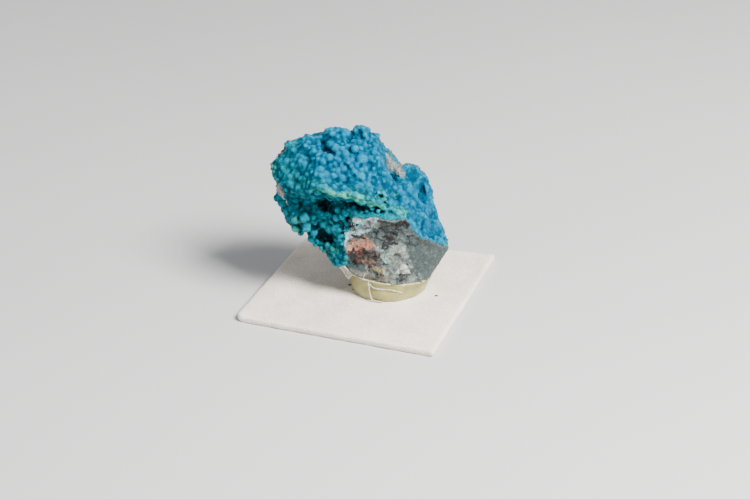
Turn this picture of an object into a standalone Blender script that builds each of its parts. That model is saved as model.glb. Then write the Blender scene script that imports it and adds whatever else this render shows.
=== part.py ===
"""A chrysocolla specimen glued on a small foam display tile.

Metres, +Z up. The tile lies on Z = 0 with its sides along X and Y. The specimen's display side faces
-Y, turned by DISPLAY_TURN about Z.
Nodes: foam_tile, glue_puck, specimen.
"""
import math
import random

import bmesh
import bpy
from mathutils import Matrix, Vector

# Driving dimensions, in metres. Points given in millimetres are multiplied by MM.
MM = 0.001

TILE_THICK = 1.6 * MM
TILE_CORNERS = ((-22.8, -21.0), (22.8, -24.1), (22.3, 24.1), (-22.0, 20.4))
TILE_CORNER_RADII = (2.2, 0.7, 0.7, 1.5)
TILE_CORNER_STEPS = 4
TILE_EDGE_ROUND = 0.25 * MM

# The puck stands on the tile over a gap, and the specimen's foot sits in a seat cut into it.
PUCK_RADIUS = 8.2 * MM
PUCK_BULGE = 0.4 * MM
PUCK_HEIGHT = 4.3 * MM
PUCK_SIDES = 44
PUCK_LEVELS = 5
PUCK_SHARP_ANGLE = math.radians(40.0)
GAP = 0.3 * MM
SEAT_GAP = 0.35 * MM

# The middle of the puck's foot is the origin of the display frame: x to the viewer's right, y away
# from the viewer, z up from the tile's top, for a viewer who stands straight in front of the specimen.
DISPLAY_X = 4.4 * MM
DISPLAY_Y = 2.0 * MM
DISPLAY_TURN = math.radians(19.4)
# The photo looks down on the specimen by this much.
VIEW_TILT = math.radians(25.7)

# The matrix is fused from convex blocks. Their corners are in the display frame, in millimetres.
CROWN = (
    (-23.4, 1.5, 28.2), (-22.2, 0.0, 22.0), (-21.2, 4.0, 30.9), (-17.8, 4.5, 33.0), (-12.0, 3.0, 35.2),
    (-5.2, 2.6, 36.0), (-2.8, 4.0, 33.0), (-1.4, 6.5, 29.0), (-20.5, -4.0, 26.0), (-17.0, -7.2, 26.0),
    (-11.5, -8.4, 26.0), (-6.0, -8.6, 24.4), (-1.0, -8.0, 21.6), (-1.0, -1.5, 30.0), (1.8, -7.0, 21.0),
    (-15.0, -3.0, 32.0), (-8.0, -3.0, 33.6), (-20.0, 8.0, 29.0), (-12.0, 8.0, 33.2), (-6.0, 7.5, 33.4),
    (-21.5, 10.0, 19.0), (-2.0, 10.0, 27.0), (-20.0, 0.0, 18.0), (-4.0, 2.0, 16.0),
)
REAR = (
    (-20.5, 8.0, 26.0), (-11.0, 12.0, 29.0), (-0.4, 8.4, 29.7), (2.0, 9.0, 27.3), (3.6, 9.5, 25.0),
    (-20.0, 11.5, 17.0), (-12.0, 14.5, 20.0), (-2.0, 13.5, 18.0), (6.0, 11.0, 15.0), (-14.0, 9.0, 10.0),
    (-4.0, 10.5, 6.0), (5.5, 8.0, 6.0), (-6.0, 2.0, 8.0), (-4.0, 2.0, 22.0), (6.2, 6.5, 20.0),
    (8.0, 6.0, 13.0),
)
FLANK = (
    (2.6, 4.0, 25.4), (6.4, 4.5, 24.6), (7.7, 4.0, 22.8), (7.9, 3.0, 19.4), (9.3, 2.0, 14.2),
    (12.2, -0.8, 9.9), (0.0, -6.8, 21.0), (3.9, -7.4, 18.9), (5.3, -7.2, 16.2), (8.8, -5.2, 12.9),
    (2.0, -2.5, 24.0), (6.2, -1.0, 21.4), (4.0, 8.5, 22.5), (7.6, 7.5, 16.0), (9.2, 4.6, 9.0),
    (-2.0, 0.0, 18.0), (2.0, 0.0, 8.0),
)
FOOT = (
    (-8.6, -6.6, 18.2), (-1.8, -8.4, 18.8), (3.9, -8.1, 19.0), (5.1, -8.1, 16.3), (8.9, -6.1, 13.2),
    (13.2, -1.6, 9.1), (-10.2, -5.0, 7.7), (-8.1, -6.5, 6.2), (-1.0, -8.4, 4.7), (3.2, -8.2, 3.4),
    (7.6, -6.0, 2.7), (9.0, -3.8, 3.6), (11.0, -1.8, 6.8), (-5.5, -4.0, 2.6), (1.0, -5.6, 1.5),
    (5.5, -3.5, 1.5), (5.0, 4.0, 1.5), (-3.5, 4.5, 1.8), (-8.0, 6.0, 7.5), (7.5, 7.0, 6.5),
    (-8.0, 4.0, 17.0), (6.0, 6.0, 16.0),
)
BELLY = (
    (-19.0, -2.0, 15.4), (-17.0, -2.6, 13.6), (-15.0, -3.0, 11.2), (-12.8, -3.6, 9.3), (-10.4, -4.8, 7.9),
    (-9.4, -6.0, 12.0), (-9.6, -6.2, 17.0), (-14.0, -4.8, 16.0), (-18.5, -4.0, 21.0), (-10.0, -5.0, 22.0),
    (-21.0, 7.0, 20.0), (-17.5, 8.0, 14.0), (-12.0, 8.0, 9.8), (-8.0, 6.0, 22.0),
)
LEFT_LOBE = (
    (-22.4, -0.2, 21.0), (-21.8, -1.2, 18.6), (-20.8, -2.0, 17.0), (-20.0, -2.4, 15.4), (-18.0, -3.0, 14.4),
    (-20.6, -4.6, 20.6), (-17.2, -5.6, 19.6), (-16.6, -5.4, 15.6), (-20.8, 5.0, 19.0), (-16.5, 4.0, 14.5),
    (-17.0, 0.0, 22.0),
)
APRON = (
    (-8.4, -7.0, 18.0), (-8.0, -8.2, 20.6), (-3.4, -9.3, 21.0), (0.6, -9.2, 20.6), (3.6, -8.5, 19.8),
    (4.0, -7.8, 18.6), (-2.0, -8.8, 18.6), (-6.0, -4.0, 24.0), (2.0, -4.0, 23.0), (-2.0, -3.0, 17.0),
)
BLOCKS = (CROWN, REAR, FLANK, FOOT, BELLY, LEFT_LOBE, APRON)

# The mint-green ledge's lip, left to right: each point and the lip's half height there. The ledge is
# LEDGE_DEPTH deep and rises by LEDGE_RISE to its root.
LEDGE = (
    (-16.4, -8.0, 26.6, 0.7), (-14.6, -9.2, 27.3, 0.8), (-12.6, -9.9, 27.3, 0.8), (-10.8, -10.2, 26.3, 0.8),
    (-8.6, -10.5, 26.2, 0.8), (-6.6, -10.5, 25.9, 0.8), (-4.6, -10.2, 24.4, 0.8), (-2.4, -9.7, 23.3, 0.8),
    (-0.4, -9.3, 22.3, 0.7),
)
LEDGE_DEPTH = 4.5
LEDGE_RISE = 1.6

# Knobs that make the outline: centre and radius, left tip to right corner, then the left side.
KNOBS = (
    (-23.2, 2.0, 28.4, 1.3), (-22.2, 3.0, 30.1, 1.4), (-20.4, 3.5, 31.9, 1.5), (-18.1, 3.5, 32.8, 1.5),
    (-16.3, 3.0, 33.7, 1.4), (-14.1, 2.5, 34.7, 1.4), (-11.8, 2.0, 35.6, 1.5), (-9.3, 2.0, 35.2, 1.4),
    (-6.2, 1.5, 35.8, 1.5), (-4.7, 1.6, 36.1, 1.5), (-3.1, 2.5, 34.0, 1.4), (-2.3, 3.0, 31.8, 1.5),
    (4.2, 4.5, 25.6, 1.3), (6.0, 5.0, 25.0, 1.3), (7.4, 4.5, 23.6, 1.3), (7.7, 3.5, 21.0, 1.3),
    (7.5, 3.0, 18.2, 1.2), (8.4, 2.5, 15.8, 1.2), (9.7, 1.5, 13.6, 1.2), (11.0, 0.0, 11.2, 1.2),
    (-23.0, 1.5, 26.6, 1.1), (-22.4, 0.0, 23.6, 1.1), (-22.3, -0.5, 21.2, 1.2), (-21.6, -1.5, 19.2, 1.3),
    (-19.8, -3.0, 17.5, 1.6), (-18.8, -3.0, 15.8, 1.5), (-17.1, -3.5, 14.8, 1.4), (-18.8, -4.4, 20.0, 1.6),
)

# Hollows in the crust: the centre and the three radii of each.
HOLLOWS = (
    ((-13.4, -8.2, 22.8), (3.0, 4.2, 2.6)),
    ((-8.4, -8.6, 23.2), (3.4, 2.8, 1.2)),
    ((-5.0, -9.4, 22.0), (1.6, 2.4, 1.2)),
    ((-13.8, -6.2, 14.6), (2.6, 2.8, 2.0)),
    ((-17.0, -7.0, 22.6), (1.2, 1.6, 1.2)),
    ((-12.4, -2.2, 35.2), (2.8, 2.0, 1.8)),
    ((8.0, 0.2, 21.0), (1.4, 1.8, 1.6)),
    ((4.6, -4.0, 20.6), (1.2, 1.2, 1.2)),
    ((-1.0, -7.2, 26.4), (1.0, 1.4, 1.0)),
)

# Where bare matrix shows, as outlines in the tilted view: millimetres right of and above the puck's foot.
BROKEN_FACE = (
    (-10.4, 3.0), (-8.9, 5.7), (-9.1, 8.5), (-9.2, 13.2), (-7.3, 14.2), (-2.9, 14.3), (0.7, 13.5),
    (3.9, 14.0), (5.0, 11.6), (7.2, 9.7), (10.3, 8.7), (13.2, 7.6), (16.0, 7.0), (13.0, -6.0),
    (-10.0, -6.0),
)
GREY_WINDOW = ((-1.2, 30.6), (1.0, 29.8), (3.8, 26.8), (3.6, 23.1), (1.0, 24.6), (-1.0, 26.0))
BARE_WINDOWS = (BROKEN_FACE, GREY_WINDOW)
CRUST_BACK = 7.5 * MM
CRUST_UNDERSIDE = -0.75
CRUST_BACK_SLOPE = 0.6

# Lumps grow on the crust, and flat flakes are broken out of the bare matrix, to FLAKE_DEPTH of their
# half thickness. Both are strewn at random, no closer than their spacing times the mean of two radii.
STREW_SEED = 7
LUMP_RADII = (1.1 * MM, 2.0 * MM)
LUMP_SPACING = 1.25
LUMP_SUNK = 0.2
FLAKE_RADII = (1.4 * MM, 3.6 * MM)
FLAKE_SPACING = 0.9
FLAKE_FLATNESS = 0.3
FLAKE_DEPTH = 0.55
FLAKE_CORNERS = 10
FUSE_VOXEL = 0.45 * MM
SPECIMEN_TRIANGLES = 8700

FOAM_COLOUR = (0.80, 0.78, 0.75)
GLUE_COLOUR = (0.60, 0.60, 0.42)
CRUST_COLOUR = (0.03, 0.42, 0.56)

for old in list(bpy.data.objects):
    bpy.data.objects.remove(old, do_unlink=True)

on_tile = Matrix.Translation((DISPLAY_X, DISPLAY_Y, TILE_THICK)) @ Matrix.Rotation(DISPLAY_TURN, 4, "Z")


def material(name, colour, roughness):
    """A Principled material of one colour."""
    made = bpy.data.materials.new(name)
    made.use_nodes = True
    shader = made.node_tree.nodes["Principled BSDF"]
    shader.inputs["Base Color"].default_value = (*colour, 1.0)
    shader.inputs["Roughness"].default_value = roughness
    shader.inputs["Metallic"].default_value = 0.0
    made.diffuse_color = (*colour, 1.0)
    return made


def add_object(name, bm, finish=None):
    """A mesh object made of bm."""
    mesh = bpy.data.meshes.new(name)
    bm.to_mesh(mesh)
    bm.free()
    made = bpy.data.objects.new(name, mesh)
    bpy.context.scene.collection.objects.link(made)
    if finish is not None:
        mesh.materials.append(finish)
    return made


def add_hull(bm, points):
    """Adds the convex block round these points to bm."""
    made = bmesh.ops.convex_hull(bm, input=[bm.verts.new(point) for point in points])
    inside = [v for v in made["geom_interior"] if isinstance(v, bmesh.types.BMVert)]
    bmesh.ops.delete(bm, geom=inside, context="VERTS")


def add_ball(bm, centre, radii, level=2):
    """Adds an ellipsoid to bm."""
    place = Matrix.Translation(centre) @ Matrix.Diagonal((*radii, 1.0))
    bmesh.ops.create_icosphere(bm, subdivisions=level, radius=1.0, matrix=place)


def in_metres(points):
    """Points given in millimetres."""
    return [Vector(point) * MM for point in points]


def cut_out(target, name, bm):
    """Cuts bm's solid out of target with a Boolean, and keeps the cutter out of sight."""
    cutter = add_object(name, bm)
    cutter.hide_render = True
    cutter.display_type = "WIRE"
    cut = target.modifiers.new(name, "BOOLEAN")
    cut.operation = "DIFFERENCE"
    cut.object = cutter
    return cutter


def fuse(target):
    """Adds a voxel remesh that makes one closed skin of target's overlapping solids."""
    skin = target.modifiers.new("fuse", "REMESH")
    skin.mode = "VOXEL"
    skin.voxel_size = FUSE_VOXEL


def bake(target):
    """target's mesh as its modifiers leave it, taken out of the scene as a triangulated bmesh."""
    bpy.context.view_layer.update()
    bm = bmesh.new()
    bm.from_object(target, bpy.context.evaluated_depsgraph_get())
    bpy.data.objects.remove(target, do_unlink=True)
    bmesh.ops.triangulate(bm, faces=bm.faces)
    bm.normal_update()
    return bm


def fused(bm):
    """bm's overlapping solids as one closed skin."""
    lump = add_object("unfused", bm)
    fuse(lump)
    return bake(lump)


def inside(outline, right, up):
    """Whether a point of the view lies inside the outline, by the sides that it crosses to its right."""
    hit = False
    for index, (x1, y1) in enumerate(outline):
        x0, y0 = outline[index - 1]
        if (y0 > up) != (y1 > up) and right < x0 + (up - y0) * (x1 - x0) / (y1 - y0):
            hit = not hit
    return hit


def crusted(point, normal):
    """Whether chrysocolla grew here: not on the back, the underside or a bare window."""
    if point.y > CRUST_BACK or normal.y > CRUST_BACK_SLOPE or normal.z < CRUST_UNDERSIDE:
        return False
    right = point.x / MM
    up = (point.z * math.cos(VIEW_TILT) + point.y * math.sin(VIEW_TILT)) / MM
    return not any(inside(window, right, up) for window in BARE_WINDOWS)


def strew(spots, radii, spacing, rng):
    """Places from spots, with a normal and a random radius each, that keep their spacing."""
    rng.shuffle(spots)
    placed = []
    for centre, normal in spots:
        radius = rng.uniform(*radii)
        if all((centre - other).length > spacing * (radius + size) / 2 for other, _, size in placed):
            placed.append((centre, normal, radius))
    return placed


def matrix_skin():
    """The broken rock before its crust: the blocks and the ledge, fused."""
    bm = bmesh.new()
    for block in BLOCKS:
        add_hull(bm, in_metres(block))
    for left, right in zip(LEDGE, LEDGE[1:]):
        corners = []
        for x, y, z, half in (left, right):
            corners += [(x, y, z - half), (x, y, z + half), (x, y - half / 2, z)]
            corners += [(x, y + LEDGE_DEPTH, z - half), (x, y + LEDGE_DEPTH, z + half + LEDGE_RISE)]
        add_hull(bm, in_metres(corners))
    return fused(bm)


def flake(place, rng):
    """Corners of one flat flake, most of it outside the rock."""
    centre, normal, radius = place
    flat = normal.to_track_quat("Z", "Y").to_matrix() @ Matrix.Diagonal((1.0, 1.0, FLAKE_FLATNESS))
    middle = centre + normal * radius * FLAKE_FLATNESS * (1 - FLAKE_DEPTH)
    arrows = [Vector([rng.gauss(0.0, 1.0) for _ in range(3)]).normalized() for _ in range(FLAKE_CORNERS)]
    return [middle + flat @ arrow * radius for arrow in arrows]


def make_specimen():
    """The rock: matrix and crust grown together, hollowed and broken, on its foot."""
    rng = random.Random(STREW_SEED)
    skin = matrix_skin()
    crust_spots = []
    broken_spots = []
    for face in skin.faces:
        centre = face.calc_center_median()
        spots = crust_spots if crusted(centre, face.normal) else broken_spots
        spots.append((centre, face.normal.copy()))
    for x, y, z, radius in KNOBS:
        add_ball(skin, Vector((x, y, z)) * MM, (radius * MM,) * 3)
    for centre, normal, radius in strew(crust_spots, LUMP_RADII, LUMP_SPACING, rng):
        add_ball(skin, centre - normal * radius * LUMP_SUNK, (radius,) * 3)
    whole = add_object("whole", fused(skin))
    lost = bmesh.new()
    for centre, radii in HOLLOWS:
        add_ball(lost, Vector(centre) * MM, Vector(radii) * MM, level=3)
    for place in strew(broken_spots, FLAKE_RADII, FLAKE_SPACING, rng):
        add_hull(lost, flake(place, rng))
    cutter = cut_out(whole, "lost", fused(lost))
    fuse(whole)
    bm = bake(whole)
    bpy.data.objects.remove(cutter, do_unlink=True)
    count = len(bm.faces)
    specimen = add_object("specimen", bm, material("chrysocolla", CRUST_COLOUR, 0.55))
    thin = specimen.modifiers.new("thin", "DECIMATE")
    thin.ratio = SPECIMEN_TRIANGLES / count
    specimen.matrix_world = on_tile


def make_puck():
    """The glue: a low disc with bulging sides, moulded round the specimen's foot."""
    bm = bmesh.new()
    turns = [2 * math.pi * side / PUCK_SIDES for side in range(PUCK_SIDES)]
    rings = []
    for level in range(PUCK_LEVELS + 1):
        t = level / PUCK_LEVELS
        radius = PUCK_RADIUS + PUCK_BULGE * math.sin(math.pi * t)
        height = GAP + PUCK_HEIGHT * t
        rings.append([bm.verts.new((radius * math.cos(a), radius * math.sin(a), height)) for a in turns])
    for lower, upper in zip(rings, rings[1:]):
        for side in range(PUCK_SIDES):
            bm.faces.new((lower[side - 1], lower[side], upper[side], upper[side - 1]))
    bm.faces.new(list(reversed(rings[0])))
    bm.faces.new(rings[-1])
    puck = add_object("glue_puck", bm, material("glue", GLUE_COLOUR, 0.35))
    puck.data.shade_smooth()
    puck.data.set_sharp_from_angle(angle=PUCK_SHARP_ANGLE)
    puck.matrix_world = on_tile
    steps = [Vector((sx, sy, sz)) * SEAT_GAP for sx in (-1, 1) for sy in (-1, 1) for sz in (-1, 1)]
    seat = bmesh.new()
    add_hull(seat, [corner + step for corner in in_metres(FOOT) for step in steps])
    cut_out(puck, "seat", seat).matrix_world = on_tile


def make_tile():
    """The foam tile, cut by hand with a knife, so no side is quite square to the next."""
    outline = []
    for index, corner in enumerate(TILE_CORNERS):
        here = Vector(corner)
        before = (Vector(TILE_CORNERS[index - 1]) - here).normalized()
        after = (Vector(TILE_CORNERS[(index + 1) % len(TILE_CORNERS)]) - here).normalized()
        reach = TILE_CORNER_RADII[index] / math.tan(before.angle(after) / 2)
        for step in range(TILE_CORNER_STEPS + 1):
            t = step / TILE_CORNER_STEPS
            outline.append(here + before * reach * (1 - t) ** 2 + after * reach * t ** 2)
    bm = bmesh.new()
    sheet = bm.faces.new([bm.verts.new((point.x * MM, point.y * MM, 0.0)) for point in outline])
    raised = bmesh.ops.extrude_face_region(bm, geom=[sheet])
    top = [v for v in raised["geom"] if isinstance(v, bmesh.types.BMVert)]
    bmesh.ops.translate(bm, verts=top, vec=(0.0, 0.0, TILE_THICK))
    bmesh.ops.recalc_face_normals(bm, faces=bm.faces)
    tile = add_object("foam_tile", bm, material("foam", FOAM_COLOUR, 0.9))
    edge_round = tile.modifiers.new("edge_round", "BEVEL")
    edge_round.width = TILE_EDGE_ROUND
    edge_round.segments = 2


make_tile()
make_puck()
make_specimen()
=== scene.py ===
import math

import bmesh
import bpy
import numpy as np
from mathutils import Matrix, Vector
from mathutils.bvhtree import BVHTree
from mathutils.kdtree import KDTree


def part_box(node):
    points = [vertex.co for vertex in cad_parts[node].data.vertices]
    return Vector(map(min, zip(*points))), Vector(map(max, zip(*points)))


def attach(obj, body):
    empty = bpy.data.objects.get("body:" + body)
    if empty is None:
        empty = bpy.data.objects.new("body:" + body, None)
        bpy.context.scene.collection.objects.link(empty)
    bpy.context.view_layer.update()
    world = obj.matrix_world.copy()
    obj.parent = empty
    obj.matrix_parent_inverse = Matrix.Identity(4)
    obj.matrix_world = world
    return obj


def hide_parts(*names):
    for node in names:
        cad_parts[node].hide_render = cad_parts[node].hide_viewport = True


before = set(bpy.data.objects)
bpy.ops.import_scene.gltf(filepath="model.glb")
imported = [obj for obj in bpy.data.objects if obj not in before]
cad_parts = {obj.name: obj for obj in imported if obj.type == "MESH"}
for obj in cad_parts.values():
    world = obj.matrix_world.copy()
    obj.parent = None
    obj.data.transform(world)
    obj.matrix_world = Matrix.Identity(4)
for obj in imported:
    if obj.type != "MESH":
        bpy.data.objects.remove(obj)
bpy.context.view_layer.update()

# Foam tile
# A thin square of white foam board, fine-grained like sugar where the light grazes it. It was cut by
# hand with a knife, so its sides are a little ragged.
MM = 0.001
TILE_STEP = 0.4
# The knife's waves and nicks along the sides: how deep, and how long.
TILE_RAGGED = 0.12
TILE_NICK = 0.7
TILE_WAVE = 2.6
FOAM_GRAIN = 0.33
FOAM_RELIEF = 0.1
FOAM_LIGHT = (0.88, 0.795, 0.7)
FOAM_DULL = (0.62, 0.55, 0.47)


class Wire:
    """A node socket that shader maths is written with. Numbers and colours join in as they are."""

    def __init__(self, socket):
        self.socket = socket
        self.tree = socket.id_data

    def node(self, kind, settings, sockets, output=0):
        """A new node in the same tree: its settings first, then the values or links of its sockets."""
        made = self.tree.nodes.new(kind)
        for key, value in settings.items():
            setattr(made, key, value)
        for key, value in sockets.items():
            if isinstance(value, Wire):
                self.tree.links.new(value.socket, made.inputs[key])
            elif isinstance(value, tuple) and made.inputs[key].type == "RGBA":
                made.inputs[key].default_value = (*value, 1)
            else:
                made.inputs[key].default_value = value
        return Wire(made.outputs[output])

    def maths(self, operation, first, second):
        """first and second put together, as vectors or colours if either is one, or else as numbers."""
        kinds = {value.socket.type for value in (first, second) if isinstance(value, Wire)}
        wide = [value if isinstance(value, (Wire, tuple)) else (value,) * 3 for value in (first, second)]
        if "VECTOR" in kinds:
            return self.node("ShaderNodeVectorMath", {"operation": operation}, {0: wide[0], 1: wide[1]})
        if "RGBA" in kinds:
            settings = {"data_type": "RGBA", "blend_type": operation}
            return self.node("ShaderNodeMix", settings, {0: 1, 6: wide[0], 7: wide[1]}, 2)
        return self.node("ShaderNodeMath", {"operation": operation}, {0: first, 1: second})

    def __add__(self, other):
        return self.maths("ADD", self, other)

    __radd__ = __add__

    def __mul__(self, other):
        return self.maths("MULTIPLY", self, other)

    __rmul__ = __mul__

    def __sub__(self, other):
        return self.maths("SUBTRACT", self, other)

    def __rsub__(self, other):
        return self.maths("SUBTRACT", other, self)

    def clear(self, low, high):
        """0 up to low and 1 from high, smoothly between; the other way round if low is above high."""
        if low > high:
            return 1 - self.clear(high, low)
        settings = {"interpolation_type": "SMOOTHSTEP"}
        return self.node("ShaderNodeMapRange", settings, {"Value": self, "From Min": low, "From Max": high})

    def blend(self, first, second):
        """first where this is 0, and second where it is 1."""
        return self.node("ShaderNodeMix", {"data_type": "RGBA"}, {0: self, 6: first, 7: second}, 2)

    def noise(self, size, detail=3, roughness=0.55):
        """Cloudy noise at this point, with lumps of this size in millimetres."""
        sockets = {"Vector": self, "Scale": 1 / (size * MM), "Detail": detail, "Roughness": roughness}
        return self.node("ShaderNodeTexNoise", {}, sockets)

    def cells(self, size, feature="F1", output="Distance"):
        """Cell noise at this point, with cells of this size in millimetres."""
        sockets = {"Vector": self, "Scale": 1 / (size * MM)}
        return self.node("ShaderNodeTexVoronoi", {"feature": feature}, sockets, output)

    def measured(self, name):
        """The number that the mesh carries under this name."""
        return self.node("ShaderNodeAttribute", {"attribute_name": name}, {}, "Fac")


def finish(name, **constants):
    """A new material, its shader with these constants, and the object's own coordinates."""
    made = bpy.data.materials.new(name)
    made.use_nodes = True
    shader = made.node_tree.nodes["Principled BSDF"]
    for key, value in constants.items():
        shader.inputs[key.replace("_", " ")].default_value = value
    where = made.node_tree.nodes.new("ShaderNodeTexCoord")
    return made, shader, Wire(where.outputs["Object"])


def feed(shader, socket, wire):
    """Links the wire to this socket of the shader."""
    shader.id_data.links.new(wire.socket, shader.inputs[socket])


def bump(shader, height, distance):
    """Raises the shader's surface by height times distance, in millimetres."""
    feed(shader, "Normal", height.node("ShaderNodeBump", {}, {"Height": height, "Distance": distance * MM}))


def share(values):
    """The values, kept between 0 and 1."""
    return np.clip(values, 0, 1)


def mesh_of(name, points, triangles):
    """A mesh of these points and triangles, given as arrays."""
    mesh = bpy.data.meshes.new(name)
    mesh.vertices.add(len(points))
    mesh.vertices.foreach_set("co", np.asarray(points, np.float32).ravel())
    mesh.loops.add(triangles.size)
    mesh.loops.foreach_set("vertex_index", np.asarray(triangles, np.int32).ravel())
    mesh.polygons.add(len(triangles))
    mesh.polygons.foreach_set("loop_start", np.arange(0, triangles.size, 3, dtype=np.int32))
    mesh.update(calc_edges=True)
    return mesh


def arrays_of(mesh):
    """A mesh's points and triangles as arrays."""
    mesh.calc_loop_triangles()
    points = np.empty(len(mesh.vertices) * 3, np.float32)
    mesh.vertices.foreach_get("co", points)
    triangles = np.empty(len(mesh.loop_triangles) * 3, np.int32)
    mesh.loop_triangles.foreach_get("vertices", triangles)
    return points.reshape(-1, 3).astype(float), triangles.reshape(-1, 3)


def placed(name, data):
    """A new object with this data, linked into the scene."""
    made = bpy.data.objects.new(name, data)
    bpy.context.scene.collection.objects.link(made)
    return made


def reshaped(points, triangles, kind, **settings):
    """These points and triangles after one modifier."""
    mesh = mesh_of("working", points, triangles)
    lump = placed("working", mesh)
    step = lump.modifiers.new("step", kind)
    for key, value in settings.items():
        setattr(step, key, value)
    bpy.context.view_layer.update()
    made = bpy.data.meshes.new_from_object(lump.evaluated_get(bpy.context.evaluated_depsgraph_get()))
    result = arrays_of(made)
    bpy.data.objects.remove(lump)
    bpy.data.meshes.remove(mesh)
    bpy.data.meshes.remove(made)
    return result


def skinned(points, triangles, step):
    """One closed skin round overlapping solids, with sides about this long."""
    return reshaped(points, triangles, "REMESH", mode="VOXEL", voxel_size=step)


def neighbour_mean(values, triangles):
    """Each point's mean over the points that it shares a side with."""
    start = triangles[:, (0, 1, 2, 1, 2, 0)].ravel()
    end = triangles[:, (1, 2, 0, 0, 1, 2)].ravel()
    count = np.maximum(np.bincount(start, minlength=len(values)), 1)
    columns = [np.bincount(start, weights=values[end, k], minlength=len(values)) for k in range(values.shape[1])]
    return np.stack(columns, 1) / count[:, None]


def smoothed(values, triangles, passes, step=0.6):
    """The points, or other values on them, after this many steps towards their neighbours'."""
    for _ in range(passes):
        values = values + (neighbour_mean(values, triangles) - values) * step
    return values


def normals_of(points, triangles):
    """Each point's outward unit normal."""
    a, b, c = (points[triangles[:, k]] for k in range(3))
    spread = np.repeat(np.cross(b - a, c - a), 3, axis=0)
    corner = triangles.ravel()
    total = np.stack([np.bincount(corner, weights=spread[:, k], minlength=len(points)) for k in range(3)], 1)
    return total / np.maximum(np.linalg.norm(total, axis=1), 1e-12)[:, None]


def cloud(points, size, seed):
    """Smooth random values from about -1 to 1 at these points, with lumps of this size."""
    low = points.min(0) - size
    cells = np.ceil((points.max(0) + size - low) / size).astype(int) + 2
    grid = np.random.default_rng(seed).uniform(-1, 1, cells)
    place = (points - low) / size
    corner = np.floor(place).astype(int)
    part = place - corner
    part = part * part * (3 - 2 * part)
    total = np.zeros(len(points))
    for shift in np.ndindex(*(2,) * points.shape[1]):
        weight = np.prod(np.where(np.array(shift) == 1, part, 1 - part), axis=1)
        total += weight * grid[tuple((corner + shift).T)]
    return total


def add_piece(name, points, triangles, made, **carried):
    """A smooth-shaded piece in the row frame, in metres, that rides on the part's one body.

    Each carried array of numbers, one for each point, goes on the mesh under its name.
    """
    mesh = mesh_of(name, points, triangles)
    mesh.shade_smooth()
    mesh.materials.append(made)
    for key, values in carried.items():
        layer = mesh.attributes.new(key, "FLOAT", "POINT")
        layer.data.foreach_set("value", np.asarray(values, np.float32))
    piece = placed(name, mesh)
    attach(piece, "root")
    return piece


points, triangles = arrays_of(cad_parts["foam_tile"].data)
points, triangles = skinned(points / MM, triangles, TILE_STEP)
points = smoothed(points, triangles, 1)
low, high = (np.array(corner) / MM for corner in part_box("foam_tile"))
normals = normals_of(points, triangles)
side = share(1 - np.abs(normals[:, 2]))
ragged = (cloud(points, TILE_NICK, 11) + cloud(points, TILE_WAVE, 12)) * 0.6 - 0.6
points += normals * (ragged * TILE_RAGGED * side)[:, None]
points = np.clip(points, low, high)
foam, shader, here = finish("white foam", Roughness=0.8, Specular_IOR_Level=0.4)
grain = here.cells(FOAM_GRAIN)
drift = here.noise(8, 2)
feed(shader, "Base Color", (drift * 0.7 + grain * 0.5).clear(0.25, 0.95).blend(FOAM_DULL, FOAM_LIGHT))
feed(shader, "Roughness", grain.clear(0.1, 0.6) * 0.35 + 0.5)
bump(shader, here.noise(0.22, 4) * 0.6 + grain * 0.7, FOAM_RELIEF)
tile = add_piece("foam_tile_cut", points * MM, triangles, foam)
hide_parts("foam_tile")

# Matrix
# The broken block of pale grey-green quartz that the crust grew on: granular and patchy in front, with
# a salmon-pink patch, brown and black specks and a smooth break on the right. Its back is broken rock
# stained by iron. It stands in its glue on a narrow foot.

# The display frame, in millimetres, has its origin on the tile's top at the middle of the glue, x to the
# viewer's right, y away from the viewer and z up. The viewer looks down by the tilt.
TILE_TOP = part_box("foam_tile")[1].z / MM
DISPLAY_PLACE = (4.4, 2, TILE_TOP)
DISPLAY_TURN = math.radians(19.4)
TURN_COS, TURN_SIN = math.cos(DISPLAY_TURN), math.sin(DISPLAY_TURN)
TURNED = np.array([[TURN_COS, TURN_SIN, 0], [-TURN_SIN, TURN_COS, 0], [0, 0, 1]])
VIEW_TILT = math.radians(25.7)
TOWARD_VIEW = np.array((0, -math.cos(VIEW_TILT), math.sin(VIEW_TILT)))
MATRIX_STEP = 0.26
# How far back the front's patches reach, where the bare back and the grey window start, and how high the
# bare underside goes.
FRONT_LIMIT = 9.5
BACK_LIMIT = 7.5
WINDOW_START = 1.5
UNDERSIDE_TOP = 10
# The crust leaves bare what faces back or down more than this, and runs further back above this height.
BACK_FACING = 0.6
DOWN_FACING = 0.72
CREST = 30
# Broken facets: their size, their height, and the seed of their places.
CHIPS = ((2.6, 0.26, 31), (1.1, 0.16, 32), (0.5, 0.07, 33))
GRAIN_SIZE = 0.45
GRAIN_HEIGHT = 0.06
# How deep the rock is drawn in under the crust.
UNDER_CRUST = -1.8
MARK_REACH = 3
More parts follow.
